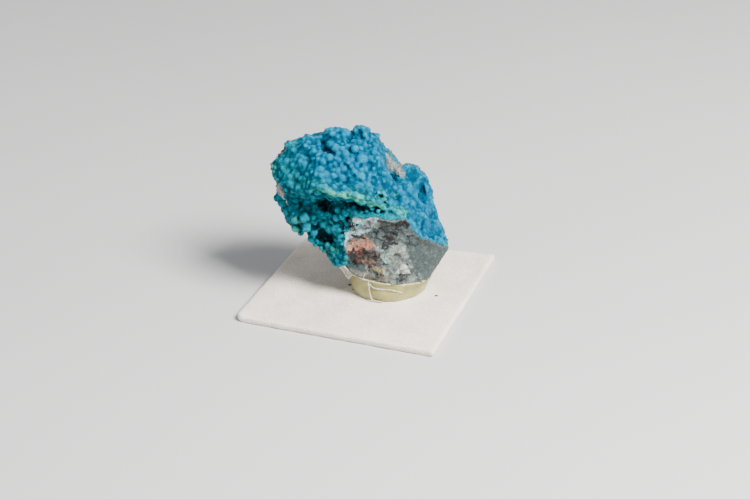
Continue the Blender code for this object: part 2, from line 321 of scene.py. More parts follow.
# Where the rock and its crust swell or sink along their normals: the middle, the reach, and how far.
SWELLS = (
    (-8.4, 4, 37, 2.3, -2), (-12.6, 3.6, 36.2, 2, -0.7), (-14.5, 1.5, 35.5, 2.4, -0.4), (-4.8, 1, 37, 1.4, 0.3),
    (-14.4, 0, 34.4, 1.5, -1.3), (-12.9, -1.2, 33.9, 1.4, -1.3), (-15.8, -2, 32.9, 1, 0.6),
    (-14.1, -3.2, 32.5, 1, 0.8), (-12.5, -4, 32, 1, 0.7), (-11.2, -4.3, 31.6, 1, 0.5), (-24, 1, 26.5, 2.4, 0.9),
    (-23, 0.5, 30, 2, 0.7), (-22.6, -1.2, 22.4, 2, 0.9), (-20.6, -3.4, 19, 2.2, 0.5), (4.7, -4.4, 20.9, 1.2, 1.2),
    (2.9, -4.6, 23.4, 1.2, -0.7), (7.5, -4.9, 16.6, 0.8, -0.6), (-1.9, 3.1, 33.8, 1, 0.5),
    (-8.9, 6.2, 34.4, 1.2, -0.4), (10.4, 2.3, 16.6, 0.9, -0.5), (-6.2, -6, 29.5, 2.4, 0.6),
    (-15, -5.5, 29, 2.2, 0.4), (-18.9, -2.2, 30.8, 1.1, 0.5), (-3, -6.4, 27.4, 1.6, -0.5),
    (4.5, -4.5, 22.4, 1.5, 0.4), (8.2, -4.2, 18, 1.6, 0.4), (-9.1, -6.4, 22.6, 1.6, 0.8),
    (-8.2, -7.4, 21.2, 1.8, 0.9), (-4.6, -8.2, 20.9, 1.6, 0.5), (-1.6, -9, 21, 1.6, 0.4),
    (-17.4, -5.4, 23.4, 1.6, 0.6), (-13.4, -4.9, 21.3, 1.5, -0.7), (-13.8, -4.6, 14.2, 1.7, -1.3),
    (-12.2, -4.9, 13.2, 1.2, -0.8), (-18.6, -4.8, 26, 1.4, 0.4), (-10, -4, 31, 1.3, -0.5), (9.4, 4, 20.4, 1.9, 0.7),
    (5.4, 5, 25.8, 1.4, 0.6), (10, 3.3, 17.7, 1.2, -1.9), (12, 0.3, 10.8, 1.3, 0.9), (11.6, 1.6, 13.2, 1.3, 0.5),
    (13.4, -0.9, 9.2, 1, -0.6), (-0.4, 3.5, 31.1, 1.2, 0.8), (0.6, 8, 28.9, 1.4, 0.8), (-5.4, 2, 37.3, 1.1, 0.45),
    (-7, 2.3, 36.6, 0.8, -0.9), (-2.6, 2.6, 34.9, 0.9, -0.9), (10.6, 0.9, 16.6, 1, -0.8), (8, 4.5, 25, 1.5, 0.5),
    (-7.4, 4.2, 35.6, 1.3, -0.7), (-8.5, 5.6, 34.8, 1.3, -0.3), (-10.4, 7.4, 34.2, 1.2, 0.4),
    (-13.4, 6.8, 34.2, 1.3, 0.7), (-17, 5.6, 33.2, 1.1, -0.7), (-22.6, 2.8, 30.6, 1.3, -0.6),
    (-18.5, 4.7, 33.1, 1.6, 0.2), (-20.4, 4.1, 32.7, 1.4, 1), (-24.5, 1.3, 25.4, 1.1, -0.5),
    (-24.6, 1.2, 28, 1.4, -0.5), (-23.6, -0.8, 21.7, 1.2, 0.3),
)
# Where they also bulge towards the viewer, and where the crust runs down the back: as for the swells.
BULGES = (
    (-21.5, -1.5, 27, 3.2, 1.5), (-20.5, 0, 31, 2.2, 0.9), (-20.5, -3, 22.5, 1.8, 0.6),
    (-16.8, -2.5, 31.2, 1.6, 0.8), (-12.6, -6.4, 29.4, 1.5, 0.5), (-7.6, -6.4, 28.6, 1.5, -0.6),
    (-2.6, -2.6, 31, 1.8, 0.7), (1.2, -3, 27.4, 1.8, 0.6), (5.6, -0.6, 25.4, 1.8, 0.7), (6.8, -4.6, 15, 1.6, 0.4),
    (-17.6, -4.8, 26.4, 1.2, -0.5), (7.9, 1.4, 22.6, 1.3, -2.8), (7, 0.8, 24.8, 1.2, 0.6),
    (8.4, 1.6, 25.2, 1.4, 0.9), (10.6, 0.5, 20.6, 1.2, 0.7), (-15.6, -9.6, 26.3, 1.3, -0.8),
    (-13.6, -10.3, 26.2, 1.2, -2), (-11.6, -10.5, 25.2, 1.2, -2.6), (-9.4, -10.6, 24.8, 1.2, -2.8),
    (-7.2, -10.3, 24.4, 1.2, -2.8), (-5.2, -10, 23.6, 1.1, -2.2), (-3.6, -10.2, 23, 1, -1),
    (-4.6, -9.6, 27.2, 1.1, -1), (-0.8, -8.4, 21.8, 1.4, 0.6), (-2.6, -8.6, 21.8, 1.2, 0.7),
)
CRUST_BEHIND = ((2.2, 8.6, 28.2, 3, 2.6),)
# Outlines of the rock's patches, drawn in the view: right of and above the middle of the glue.
OUTLINES = {
    "broken_face": (
        (-10.4, 3), (-9, 5.7), (-9.1, 8.5), (-9.4, 11.7), (-9.2, 13.2), (-7.3, 14.2), (-2.9, 14.3), (0.7, 13.6),
        (3.9, 14), (5, 11.6), (7.2, 9.7), (10.3, 8.7), (13.2, 7.6), (17, 7), (13, -7), (-10, -7),
    ),
    "smooth_break": ((5, 11.9), (7.2, 10), (13.6, 7.9), (12, 3), (8.6, 0.6), (5, 3.2), (4, 7), (3.6, 10)),
    "white_top": ((-9.6, 8.6), (-9.6, 13.2), (-7.6, 14.2), (-2.6, 14.2), (-2, 12.6), (-4.6, 11.6), (-8.6, 10.4)),
    "quartz": (
        (-2.4, 8.6), (-0.6, 7.6), (1.8, 9.4), (2.6, 9), (3.6, 8), (4, 6.4), (5, 3.6), (2.4, 3.3), (1, 3.4),
        (-0.8, 4.6), (-1.4, 5.6), (-3, 6.6),
    ),
    "marbled": ((-2.8, 8.3), (-1.6, 7.6), (-0.4, 7.4), (-0.3, 5), (-1.5, 4.4), (-2.4, 5.6)),
    "glued": ((-8.8, 3.5), (-5, 3.4), (-3.6, 2.4), (0.6, 1.9), (0.4, -0.6), (-4.8, -0.4), (-8.6, 1.4)),
    "chip": ((1, 2.3), (2.2, 3.8), (3.1, 4.7), (4, 3.8), (4.9, 2.4)),
    "purple": ((-6.4, 7.5), (-4.2, 8.2), (-2.2, 7.4), (-1.8, 5.4), (-2.6, 4.2), (-5, 4), (-7.2, 4.6), (-8.4, 6)),
    "pink": (
        (-8.8, 9.2), (-7.9, 10.3), (-6.4, 9.8), (-5.4, 10.7), (-3.9, 9.8), (-2.8, 8.6), (-3.6, 8), (-4.8, 8),
        (-6, 7.2), (-8.6, 7),
    ),
    "red": ((-8.7, 7), (-7, 7.3), (-6.1, 6.3), (-5.6, 4.9), (-7.2, 4.7), (-8.4, 5.6)),
    "dark_band": ((-1.6, 13.9), (1.6, 13.2), (4.2, 14.2), (5, 12.2), (3, 10.8), (0.6, 9.2), (-1, 11), (-2.6, 12.8)),
    "window": (
        (-0.3, 28.5), (0.4, 28.4), (1.5, 27.1), (2.5, 26), (3.1, 25.2), (3.5, 24.3), (3.3, 23.1), (2.7, 23.6),
        (1.4, 24.5), (0.1, 24.9), (-0.6, 25.2), (-0.4, 26.1), (-0.1, 27.2),
    ),
    "fibres": ((-0.3, 28.5), (0.4, 28.4), (3.1, 25.2), (3.5, 23.1), (2.5, 24.2), (0.8, 26), (0.1, 27.2)),
    "strip": (
        (-24.3, 22.4), (-23.3, 22.1), (-22.5, 20.3), (-21.2, 18.4), (-21.6, 18), (-22.8, 19.4), (-23.9, 21.2),
    ),
    "rear_rim": (
        (-1.3, 31.6), (-0.3, 30.9), (1.3, 29.6), (2.6, 28.3), (3.8, 27), (3.5, 26.5), (2.3, 27.8), (1, 29.1),
        (-0.9, 30.5),
    ),
    "brown_rim": ((-25.4, 27.4), (-24, 29.6), (-21.8, 30.4), (-21.6, 29.4), (-22.6, 28.6), (-23.9, 27.3)),
}
# Round marks drawn in the view: right, up, radius.
SPOTS = {
    "lumps": ((0.2, 1.2, 1.1), (-0.6, 2, 0.6), (4.6, 0.9, 1), (5, 1.8, 0.6), (-2, 12.9, 0.9), (-4.4, 13.3, 0.7)),
    "yellow_spots": ((-3.1, 3.4, 0.6), (-2.4, 3.3, 0.6), (-1.6, 3.2, 0.6), (-8.6, 8, 0.4)),
    "brown_spots": (
        (-7.3, 7.3, 0.9), (-6.2, 7, 0.7), (-8.2, 7, 0.6), (-5.8, 5.9, 0.5), (-6.4, 9, 0.35), (-7.9, 9.2, 0.4),
        (-5.6, 4.7, 0.7), (-4.4, 4.2, 0.5), (4.1, 13.5, 0.7), (4.5, 12.9, 0.4), (0.9, 9.8, 0.4), (2, 12.8, 0.5),
        (-6.8, 4.9, 0.35),
    ),
    "dark_spots": (
        (-7.9, 13.2, 0.8), (-7.4, 12.4, 0.5), (-6.9, 10.9, 0.7), (-5.6, 10.8, 0.5), (-2.8, 11.4, 0.4),
        (0.8, 11.2, 0.6), (1.4, 12.3, 0.7), (-0.4, 10.4, 0.4), (0.2, 9.2, 0.4), (-0.9, 9.4, 0.35), (2.6, 12.8, 0.6),
        (3.6, 12.2, 0.5), (-5.3, 7.7, 0.6), (-3, 6.2, 0.6), (-7.8, 7.1, 0.7), (-8.6, 6.4, 0.6), (-8, 4.9, 0.5),
        (-6.8, 4.4, 0.4), (-3.4, 4.6, 0.4), (-2.8, 2.5, 0.4), (-1.9, 2.5, 0.3), (2.5, 1.5, 0.9), (3.4, 1.7, 0.6),
        (4.6, 9, 0.5), (-8.3, 5.6, 0.5), (-7.4, 5.2, 0.6), (-6.6, 4.6, 0.5), (-7.7, 6.2, 0.4),
    ),
    "teal_spots": ((-5.9, 4.2, 0.5), (-6.4, 4.2, 0.35), (-9.2, 5.2, 0.9), (-8.4, 4.6, 0.5), (-3.1, 12.2, 0.4)),
    "squiggles": (
        (-0.5, 9.5, 1.2), (0.8, 8.9, 0.9), (-1, 8.2, 0.8), (-2.3, 11.3, 0.9), (-3.2, 10.4, 0.7), (1.4, 10.4, 1),
        (2.3, 12.1, 1), (-0.6, 11.6, 0.8), (-7, 12, 0.8), (-5.2, 12.6, 0.8), (-1.8, 6.9, 0.7),
    ),
}
# Thin dark cracks drawn in the view: the half width, and the corners.
CRACKS = (
    (0.15, ((-1.3, 8.8), (-1.4, 8), (-0.9, 7.7), (-0.4, 8), (-0.3, 8.6), (-0.8, 9), (-1.3, 8.8))),
    (0.23, ((-0.5, 9.2), (0.3, 9), (1, 9.2), (1.7, 8.9))),
    (0.13, ((-0.6, 10.9), (-0.1, 10.2), (0.6, 10.6), (0.3, 9.8), (-0.4, 9.9), (0.8, 9.3))),
    (0.13, ((-1.3, 11.8), (-0.6, 11.3), (0.1, 11.6), (0.6, 10.9), (1.3, 11.3), (1.7, 10.6))),
    (0.05, ((-5, 12.3), (-3.8, 12.5), (-2.7, 12.1), (-1.6, 12.4))), (0.09, ((-3, 10.4), (-2.3, 10.1), (-1.4, 9.5))),
    (0.19, ((-7.8, 11.1), (-6.8, 10.8), (-6, 10.6), (-5.2, 10.1))), (0.19, ((-8.5, 6.7), (-7.3, 6.4), (-6.2, 6.1))),
    (0.13, ((-8, 5.2), (-7, 4.9), (-6, 5.1))), (0.15, ((-5.3, 7), (-4.7, 7.4), (-4, 7.1), (-3.1, 7.5))),
    (0.05, ((2, 2.2), (3.6, 2.1), (5, 2.3), (4.4, 3.4), (3.8, 4.6))),
    (0.09, ((-3.9, 3.8), (-3.2, 2.8), (-2.3, 2.5), (-1.2, 2.4))),
    (0.17, ((-2.2, 13.8), (-0.1, 13.4), (1.6, 13), (3, 13.4), (4.2, 12.9))),
    (0.09, ((2.9, 11.4), (3.6, 10.4), (5.4, 10.6))), (0.07, ((4.9, 8.7), (5.6, 8.4), (6.2, 8.9))),
)
# The two colours, darker and paler, of each patch of the rock; and last, as relief, the factors for painted shade in
# the rock's low places and painted highlight on its raised places.
SHADES = {
    "rock": ((0.038, 0.062, 0.06), (0.12, 0.16, 0.155)),
    "smooth_break": ((0.022, 0.038, 0.04), (0.038, 0.062, 0.06)),
    "white_top": ((0.15, 0.225, 0.235), (0.42, 0.61, 0.64)), "quartz": ((0.12, 0.16, 0.155), (0.24, 0.27, 0.235)),
    "marbled": ((0.028, 0.105, 0.105), (0.3, 0.45, 0.4)), "lumps": ((0.12, 0.16, 0.155), (0.24, 0.27, 0.235)),
    "glued": ((0.12, 0.122, 0.098), (0.225, 0.215, 0.17)), "chip": ((0.34, 0.36, 0.32), (0.5, 0.52, 0.47)),
    "purple": ((0.034, 0.022, 0.02), (0.122, 0.092, 0.074)), "pink": ((0.36, 0.11, 0.065), (0.46, 0.29, 0.215)),
    "dark_band": ((0.005, 0.005, 0.006), (0.045, 0.085, 0.09)),
    "yellow_spots": ((0.4, 0.36, 0.19), (0.26, 0.095, 0.022)), "window": ((0.05, 0.055, 0.054), (0.12, 0.125, 0.12)),
    "fibres": ((0.09, 0.105, 0.112), (0.3, 0.345, 0.36)), "strip": ((0.22, 0.2, 0.205), (0.5, 0.46, 0.47)),
    "rims": ((0.045, 0.028, 0.02), (0.14, 0.1, 0.08)), "stains": ((0.13, 0.08, 0.05), (0.26, 0.205, 0.15)),
    # Not a patch: painted shade and painted highlight, as factors on the colour.
    "relief": ((0.55, 0.56, 0.55), (1.12, 1.12, 1.12)),
}
STREAK = (0.11, 0.15, 0.15)
STAIN_GREY = (0.12, 0.16, 0.155)
RUST = (0.05, 0.015, 0.009)
BLACKISH = (0.005, 0.005, 0.006)
TEAL_SPOT = (0.01, 0.1, 0.11)
UNDER_BLUE = (0, 0.022, 0.034)


def into_display(points):
    """Row-frame points in metres, as display-frame millimetres."""
    return (points / MM - DISPLAY_PLACE) @ TURNED.T


def onto_tile(points):
    """Display-frame millimetres as row-frame metres."""
    return (points @ TURNED + DISPLAY_PLACE) * MM


def seen_at(points):
    """Where the tilted view sees these points: millimetres right of and above the middle of the glue."""
    return np.stack([points[:, 0], points[:, 2] * math.cos(VIEW_TILT) + points[:, 1] * math.sin(VIEW_TILT)], 1)


def gap_to(spots, start, end):
    """How far each spot of the view lies from the line between these two, in millimetres."""
    (x, y), (wide, high) = start, np.subtract(end, start)
    right, up = spots[:, 0] - x, spots[:, 1] - y
    along = share((right * wide + up * high) / (wide ** 2 + high ** 2))
    return np.hypot(right - along * wide, up - along * high)


def within(outline, spots):
    """How far inside the outline each spot of the view lies, in millimetres; negative outside."""
    hit = np.zeros(len(spots), bool)
    near = np.full(len(spots), np.inf)
    for start, end in zip(outline[-1:] + outline, outline):
        near = np.minimum(near, gap_to(spots, start, end))
        (x0, y0), (x1, y1) = start, end
        if y0 != y1:
            crosses = (y0 > spots[:, 1]) != (y1 > spots[:, 1])
            hit ^= crosses & (spots[:, 0] < x0 + (spots[:, 1] - y0) * (x1 - x0) / (y1 - y0))
    return np.where(hit, near, -near)


def spotted(spots, marks):
    """How far inside the nearest round mark each spot of the view lies, in millimetres."""
    return np.max([r - np.hypot(spots[:, 0] - x, spots[:, 1] - y) for x, y, r in marks], axis=0)


def beside(spots, strokes):
    """How far inside the nearest of these drawn strokes each spot of the view lies, in millimetres."""
    return np.max([half - gap_to(spots, start, end) for half, corners in strokes
                   for start, end in zip(corners, corners[1:])], axis=0)


def tree_of(points):
    """A search tree of these points."""
    tree = KDTree(len(points))
    for index, point in enumerate(points):
        tree.insert(point, index)
    tree.balance()
    return tree


def facets(points, size, seed):
    """Heights of a surface broken into flat tilted facets of this size, from about -1 to 1."""
    rng = np.random.default_rng(seed)
    low = points.min(0)
    count = int(np.prod((points.max(0) - low) / size)) + 1
    middles = rng.uniform(low, points.max(0), (count, 3))
    tilts = rng.normal(0, 1, (count, 3))
    tree = tree_of(middles)
    nearest = np.array([tree.find(point)[1] for point in points])
    heights = rng.uniform(-0.5, 0.5, count)
    return heights[nearest] + np.sum((points - middles[nearest]) * tilts[nearest], axis=1) / size


def humps(points, places):
    """How high round humps, each given as its middle, its reach and its height, stand at these points."""
    return sum(height * np.exp(-np.sum((points - place) ** 2, axis=1) / reach ** 2)
               for *place, reach, height in places)


def swollen(points, normals):
    """The points after the rock's swells and hollows have moved them."""
    return points + normals * humps(points, SWELLS)[:, None] + TOWARD_VIEW * humps(points, BULGES)[:, None]


cad_points, cad_triangles = arrays_of(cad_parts["specimen"].data)
rock, rock_triangles = skinned(into_display(cad_points), cad_triangles, MATRIX_STEP)
rock_normals = normals_of(smoothed(rock, rock_triangles, 6), rock_triangles)
rock = swollen(rock, rock_normals)


def ragged_view(points, reach):
    """Where the view sees the points, shifted at random so that outlines drawn in it come out ragged."""
    shift = np.stack([cloud(points, 1.5, seed) + cloud(points, 0.6, seed + 1) * 0.6 for seed in (21, 23)], 1)
    return seen_at(points) + shift * reach


def bareness(points, normals):
    """How far from the crust each point lies, in millimetres; negative under the crust."""
    spots = ragged_view(points, 0.35)
    front = [within(OUTLINES[name], spots) for name in ("broken_face", "strip", "brown_rim")]
    rear = [within(OUTLINES[name], spots) for name in ("window", "rear_rim")]
    rear = np.minimum(np.max(rear, axis=0), (points[:, 1] - WINDOW_START) * 2)
    bare = np.minimum(np.maximum(np.max(front, axis=0), rear), (FRONT_LIMIT - points[:, 1]) * 2)
    edge = cloud(points, 2.5, 25) * 0.9 + cloud(points, 0.9, 26) * 0.5
    behind = np.maximum((points[:, 1] - BACK_LIMIT) * 0.8, (normals[:, 1] - BACK_FACING) * 5)
    behind = behind - np.clip(points[:, 2] - CREST, 0, 4) * 0.5 - humps(points, CRUST_BEHIND)
    beneath = np.minimum((-DOWN_FACING - normals[:, 2]) * 6, UNDERSIDE_TOP - points[:, 2])
    return np.maximum(bare, np.maximum(behind, beneath) + edge)


bare = bareness(rock, rock_normals)
view = seen_at(rock)
fronting = np.clip((FRONT_LIMIT - rock[:, 1]) * 0.5, -MARK_REACH, MARK_REACH)
smooth_break = share(within(OUTLINES["smooth_break"], view) + 0.4) * (fronting > 0)
chips = sum(facets(rock, size, seed) * height for size, height, seed in CHIPS)
relief = (chips + cloud(rock, GRAIN_SIZE, 34) * GRAIN_HEIGHT) * (1 - 0.75 * smooth_break) - 0.12
relief = np.where(bare < -0.3, UNDER_CRUST, relief * share(bare + 0.6))
rock = smoothed(rock, rock_triangles, 1) + rock_normals * relief[:, None]
marks = {name: within(outline, view) for name, outline in OUTLINES.items() if name != "broken_face"}
marks.update({name: spotted(view, spots) for name, spots in SPOTS.items()})
marks["cracks"] = beside(view, CRACKS)
marks["rims"] = np.maximum(marks.pop("rear_rim"), marks.pop("brown_rim"))
# The marks are only on what the photograph's view sees: in front, and facing it.
seen = np.minimum(fronting * 3, rock_normals @ TOWARD_VIEW * 8 + 1)
marks = {name: np.clip(np.minimum(inside, seen), -MARK_REACH, MARK_REACH) for name, inside in marks.items()}
marks["behind"] = -fronting
# How raised each point is, for painted shade and highlight on the rock.
marks["raised"] = np.clip(relief * 2.2, -1, 1)
marks["buried"] = np.clip(-bare, -MARK_REACH, MARK_REACH)

stone, shader, here = finish("broken quartz matrix", Specular_IOR_Level=0.35, Coat_Weight=0.06, Coat_Roughness=0.3)
fine = here.noise(0.35, 4, 0.65)
patchy = here.noise(1.5, 4, 0.6)
wide = here.noise(4.5, 3)
speckle = here.noise(0.55, 3, 0.7)
wander = (here.noise(0.8, 3, 0.65) - 0.5) * 2.6


def marked(name, soft=0.35, fray=1):
    """1 inside the marks of this name, with a soft and frayed edge."""
    return (here.measured(name) + wander * fray).clear(-soft, soft)


def patched(under, name, cover, pattern, low, high, soft=0.35, fray=1):
    """The colour under a patch with the patch over it, which goes from dark to pale as the pattern rises."""
    return (marked(name, soft, fray) * cover).blend(under, pattern.clear(low, high).blend(*SHADES[name]))


def stretched(turn, scale):
    """The place on the rock, turned and stretched."""
    return here.node("ShaderNodeMapping", {}, {"Vector": here, "Rotation": turn, "Scale": scale})


grit = here.cells(0.8, output="Color") * 0.6 + here.cells(0.35, output="Color") * 0.4
seams = here.cells(1.1, "DISTANCE_TO_EDGE")
wave = here.noise(1.5, 2.5, 0.5) - 0.5
lines = (wave * wave).clear(0.0045, 0.0015)
streaks = stretched((0.2, -0.7, 0.3), (0.35, 1, 1)).noise(0.7, 4, 0.6)
fibres = stretched((0.3, 0.9, 0.4), (1, 1, 0.2)).noise(0.3)
colour = (grit * 0.7 + patchy * 0.5).clear(0.35, 0.75).blend(*SHADES["rock"])
facet = (wide * 0.5 + fine * 0.5).clear(0.3, 0.7).blend(*SHADES["smooth_break"])
facet = (streaks.clear(0.54, 0.66) * 0.7).blend(facet, STREAK)
colour = (marked("smooth_break", 0.8) * 0.9).blend(colour, facet)
granular = (grit * 0.7 + fine * 0.3).clear(0.1, 0.3)
colour = patched(colour, "white_top", granular, grit * 0.6 + fine * 0.4, 0.22, 0.45)
colour = patched(colour, "quartz", 0.9, grit * 0.7 + patchy * 0.4, 0.3, 0.65)
colour = patched(colour, "marbled", 0.9, here.noise(0.5, 3, 0.6), 0.44, 0.52)
colour = patched(colour, "lumps", 0.85, fine * 0.6 + grit * 0.4, 0.3, 0.6)
colour = patched(colour, "glued", 0.8, fine, 0.3, 0.7, 0.6)
colour = patched(colour, "chip", 1, fine, 0.3, 0.6, 0.15, 0.2)
colour = patched(colour, "purple", 1, grit * 0.5 + fine * 0.6, 0.35, 0.75, 0.5)
colour = patched(colour, "pink", 1, grit * 0.5 + patchy * 0.6, 0.35, 0.7)
colour = (marked("red", 0.5) * speckle.clear(0.3, 0.5)).blend(colour, RUST)
banded = (speckle * 0.6 + grit * 0.4).clear(0.4, 0.5) * 0.8
colour = patched(colour, "dark_band", banded, fine, 0.46, 0.56, 0.6)
colour = patched(colour, "yellow_spots", 0.9, fine, 0.44, 0.58, 0.25)
colour = (marked("brown_spots", 0.25) * speckle.clear(0.36, 0.5)).blend(colour, RUST)
colour = (marked("dark_spots", 0.25) * speckle.clear(0.38, 0.52)).blend(colour, BLACKISH)
colour = (marked("teal_spots", 0.2) * 0.8).blend(colour, TEAL_SPOT)
crackle = marked("squiggles", 0.5) * 0.6 + patchy.clear(0.5, 0.65) * 0.45
colour = (lines * crackle * (1 - marked("smooth_break"))).blend(colour, BLACKISH)
colour = (seams.clear(0.07, 0) * patchy.clear(0.45, 0.6) * 0.6).blend(colour, BLACKISH)
cracks = (here.measured("cracks") + (fine - 0.5) * 0.9 + wander * 0.1).clear(-0.16, 0.02)
colour = (cracks * 0.95).blend(colour, BLACKISH)
colour = (speckle.clear(0.64, 0.72) * 0.6).blend(colour, BLACKISH)
colour = patched(colour, "window", 1, fine, 0.35, 0.65, 0.5)
colour = patched(colour, "fibres", 1, fibres, 0.35, 0.65, 0.5)
colour = patched(colour, "strip", 1, fine, 0.4, 0.6, 0.4)
colour = patched(colour, "rims", 1, fine, 0.4, 0.6, 0.4)
stains = (wide * 0.6 + patchy * 0.4).clear(0.42, 0.6).blend(*SHADES["stains"])
stains = (wide.clear(0.55, 0.68) * 0.6).blend(stains, STAIN_GREY)
stains = (speckle.clear(0.6, 0.7) * 0.6).blend(stains, RUST)
behind = here.measured("behind") + (wide - 0.5) * 7 + (patchy - 0.5) * 4 + wander * 0.5
colour = behind.clear(-0.2, 1.6).blend(colour, stains)
# Painted shade and highlight: the colour is darkened in the rock's low places and lightened on its raised facets.
colour = colour * (here.measured("raised") * 0.5 + fine * 0.5).clear(-0.6, 0.7).blend(*SHADES["relief"])
colour = here.measured("buried").clear(0.35, 0.8).blend(colour, UNDER_BLUE)
feed(shader, "Base Color", colour)
feed(shader, "Roughness", fine.clear(0.3, 0.7) * 0.35 + 0.35)
bump(shader, fine * 0.5 + here.noise(0.14, 3) * 0.25 + grit * 0.45 - lines * 0.3, 0.3)
matrix = add_piece("specimen_matrix", onto_tile(rock), rock_triangles, stone, **marks)
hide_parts("specimen")

# Crust
# Chrysocolla grown over the matrix in rounded, grape-like lumps, each a little globe with a druse of
# fine crystals on it. It is azure on the top and right, greener and finer on the left and below, and
# ends in a mint-green ledge over a dark hollow. Painted shade darkens its hollows and gaps, and painted
# highlight lightens its tips.
CRUST_STEP = 0.2
CRUST_TRIANGLES = 192000
# Loose scraps with fewer triangles than this are taken out.
CRUST_SCRAP = 150
# The layer under the globes: its top and its underside, over the rock's unbroken face.
CRUST_BASE = -0.4
CRUST_ROOT = -2.6
# The globes: their seed and spacing, the radius of the finest and what the coarsest have more, how much one
# differs from the next, how far they are squashed, and how big buds are beside the globes they sit on.
GLOBE_SEED = 5
GLOBE_SPACING = 1.32
GLOBE_RADIUS = 0.55
GLOBE_GROWTH = 0.5
GLOBE_SPREAD = (0.55, 1.4)
GLOBE_SQUASH = (0.88, 1.12)
BUD_SPREAD = (0.3, 0.55)
# How strongly painted shade darkens the foot of the crust at the lower left, up to which height, and left of where.
FOOT_SHADE = 0.42
FOOT_TOP = 15.5
FOOT_RIGHT = -6
# How many ways each point looks for open air, and how far.
RAYS = 12
OPEN_REACH = 5
# The line of the ledge's lip, and how green it is from left to right.
LEDGE_LIP = (
    (-16.6, -8.6, 27.3), (-15.4, -9.7, 28.2), (-13.8, -10.4, 28.5), (-12.6, -10.7, 28), (-11.2, -10.9, 27.2),
    (-9.4, -11.1, 27.1), (-7.8, -11.2, 27.2), (-6.4, -11.1, 26.7), (-5, -10.8, 25.8), (-3.4, -10.4, 25),
    (-2.3, -9.8, 24.4), (-1.3, -9.3, 23.7),
)
LEDGE_X = (-17, -14.6, -12.6, -5.6, -3, -1)
LEDGE_GREEN = (0.3, 0.52, 1, 1, 0.8, 0.4)
# The globes on the lip: how many, their radius, and how far others stay off.
LIP_GLOBES = 90
LIP_GLOBE = 0.58
LIP_CLEAR = 0.75
# Holes that no globe fills: the centre and the radius of each.
HOLES = (
    (7.8, 1.8, 21.9, 1.1), (-13.6, -5.2, 21, 1), (-13, -4.6, 14.2, 1), (-14.6, 0.2, 34, 1.1),
    (-13.2, -0.8, 33.6, 1.2), (-12, -1.6, 34, 0.9), (-12.6, 0.2, 34.6, 0.8),
)
# Single globes: the centre in the display frame, the radius, and how mint-green each is.
SINGLE_GLOBES = (
    (4.9, -4.2, 21.3, 0.95, 0), (-23.8, 0.2, 28, 1, 0.5), (-23.6, 0.2, 26.4, 0.95, 0.5),
    (-23.2, 0.2, 29.6, 0.8, 0.4), (-6.2, 2.2, 36.4, 0.7, 0), (-10.9, -2.8, 34, 1, 0), (-6.5, 1.5, 36.1, 0.8, 0),
    (-4.1, 1.5, 36.1, 0.8, 0), (-6.8, -3.4, 33.9, 0.95, 0), (-16.1, -2.1, 32.6, 0.6, 0.1),
    (-14.6, -3.3, 32.6, 0.6, 0.1), (0.1, -7.8, 23.3, 0.9, 0.2), (0.9, -7.5, 22.6, 0.9, 0.2),
    (-0.5, -8.2, 23.6, 0.6, 0.3), (0.3, -8.6, 22.4, 0.7, 0.3), (2, -8.6, 21.3, 0.75, 0.62),
    (1.2, -8.6, 21.9, 0.55, 0.5), (2.8, -8.1, 21, 0.6, 0.4), (-0.8, -4, 28.3, 0.6, 0.5),
    (0.6, -5.2, 25.4, 0.4, 0.3), (1.3, -4.7, 24.4, 0.42, 0.35), (1.9, -5.1, 23.4, 0.42, 0.4),
    (-19.7, -5.4, 18.6, 1, 0.6), (-19.8, -4.3, 16.2, 1, 0.7), (-18.8, -3.6, 14.8, 0.8, 0.6),
    (9.9, -4.7, 13.5, 0.6, 0), (-0.6, -8, 25.1, 0.42, 0.6), (-0.8, -8.1, 24.4, 0.45, 0.75),
    (-1.4, -8.2, 24.1, 0.45, 0.75), (-2.1, -8.2, 24.4, 0.42, 0.6), (-2.4, -8, 25.1, 0.4, 0.45),
    (-2, -7.8, 25.8, 0.4, 0.4), (-1, -7.8, 25.8, 0.4, 0.45), (-3.4, -9, 22.7, 0.6, 0.5),
    (-2.2, -9.3, 22.1, 0.55, 0.6), (-1.2, -9.2, 22.7, 0.5, 0.6), (-2.8, -8.8, 23.5, 0.45, 0.4),
    (-0.4, -9, 21.7, 0.5, 0.45), (-4.6, -9, 22.1, 0.5, 0.3), (-1.7, -8.8, 23.3, 0.4, 0.5),
    (-5.6, -8.6, 21.6, 0.5, 0.2), (-9, -7.7, 21.2, 0.95, 0), (-9.8, -7.2, 20.2, 0.9, 0), (-8.2, -7.9, 22, 0.7, 0),
    (-10.6, -6.6, 21.4, 0.8, 0), (-7.2, -8.2, 21.6, 0.6, 0.2), (-11, -6.6, 19.6, 0.9, 0),
)
# Round places in the view where the crust is mint-green: right, up, radius, and how strongly.
MINT_PLACES = (
    (-24.4, 25.6, 1.3, 0.6), (-23.9, 27.2, 1, 0.5), (-24, 23.9, 1, 0.4), (-21.4, 30, 1.3, 0.45),
    (-20.2, 31.2, 1, 0.4), (-18.6, 32, 1, 0.35), (-19.6, 14.6, 1.2, 0.6), (-19.6, 12.4, 1.2, 0.7),
    (-18.4, 11.6, 1, 0.6), (-13.8, 8.2, 1.2, 0.5), (-12.6, 8.4, 0.9, 0.5), (-11.2, 7.2, 1, 0.5),
    (-16.2, 21, 1.4, 0.45), (-18, 19.4, 1, 0.35), (-1.5, 19.5, 1.4, 0.5), (1.8, 15.8, 1.1, 0.7),
    (-12.4, 33.3, 1.1, 0.35), (-1, 16.5, 0.8, 0.55), (-0.4, 17.2, 0.7, 0.5), (0.5, 15.4, 0.7, 0.4),
    (2.9, 15.4, 1.2, 0.85), (0.8, 17, 0.9, 0.5), (1.3, 19.8, 1, 0.6), (-0.8, 23.7, 0.7, 0.6), (-16, 17.6, 0.8, 0.4),
    (-8.8, 4.4, 1, 0.4), (-6, 23, 0.5, 0.3), (11.6, 8.4, 0.8, 0.5),
)
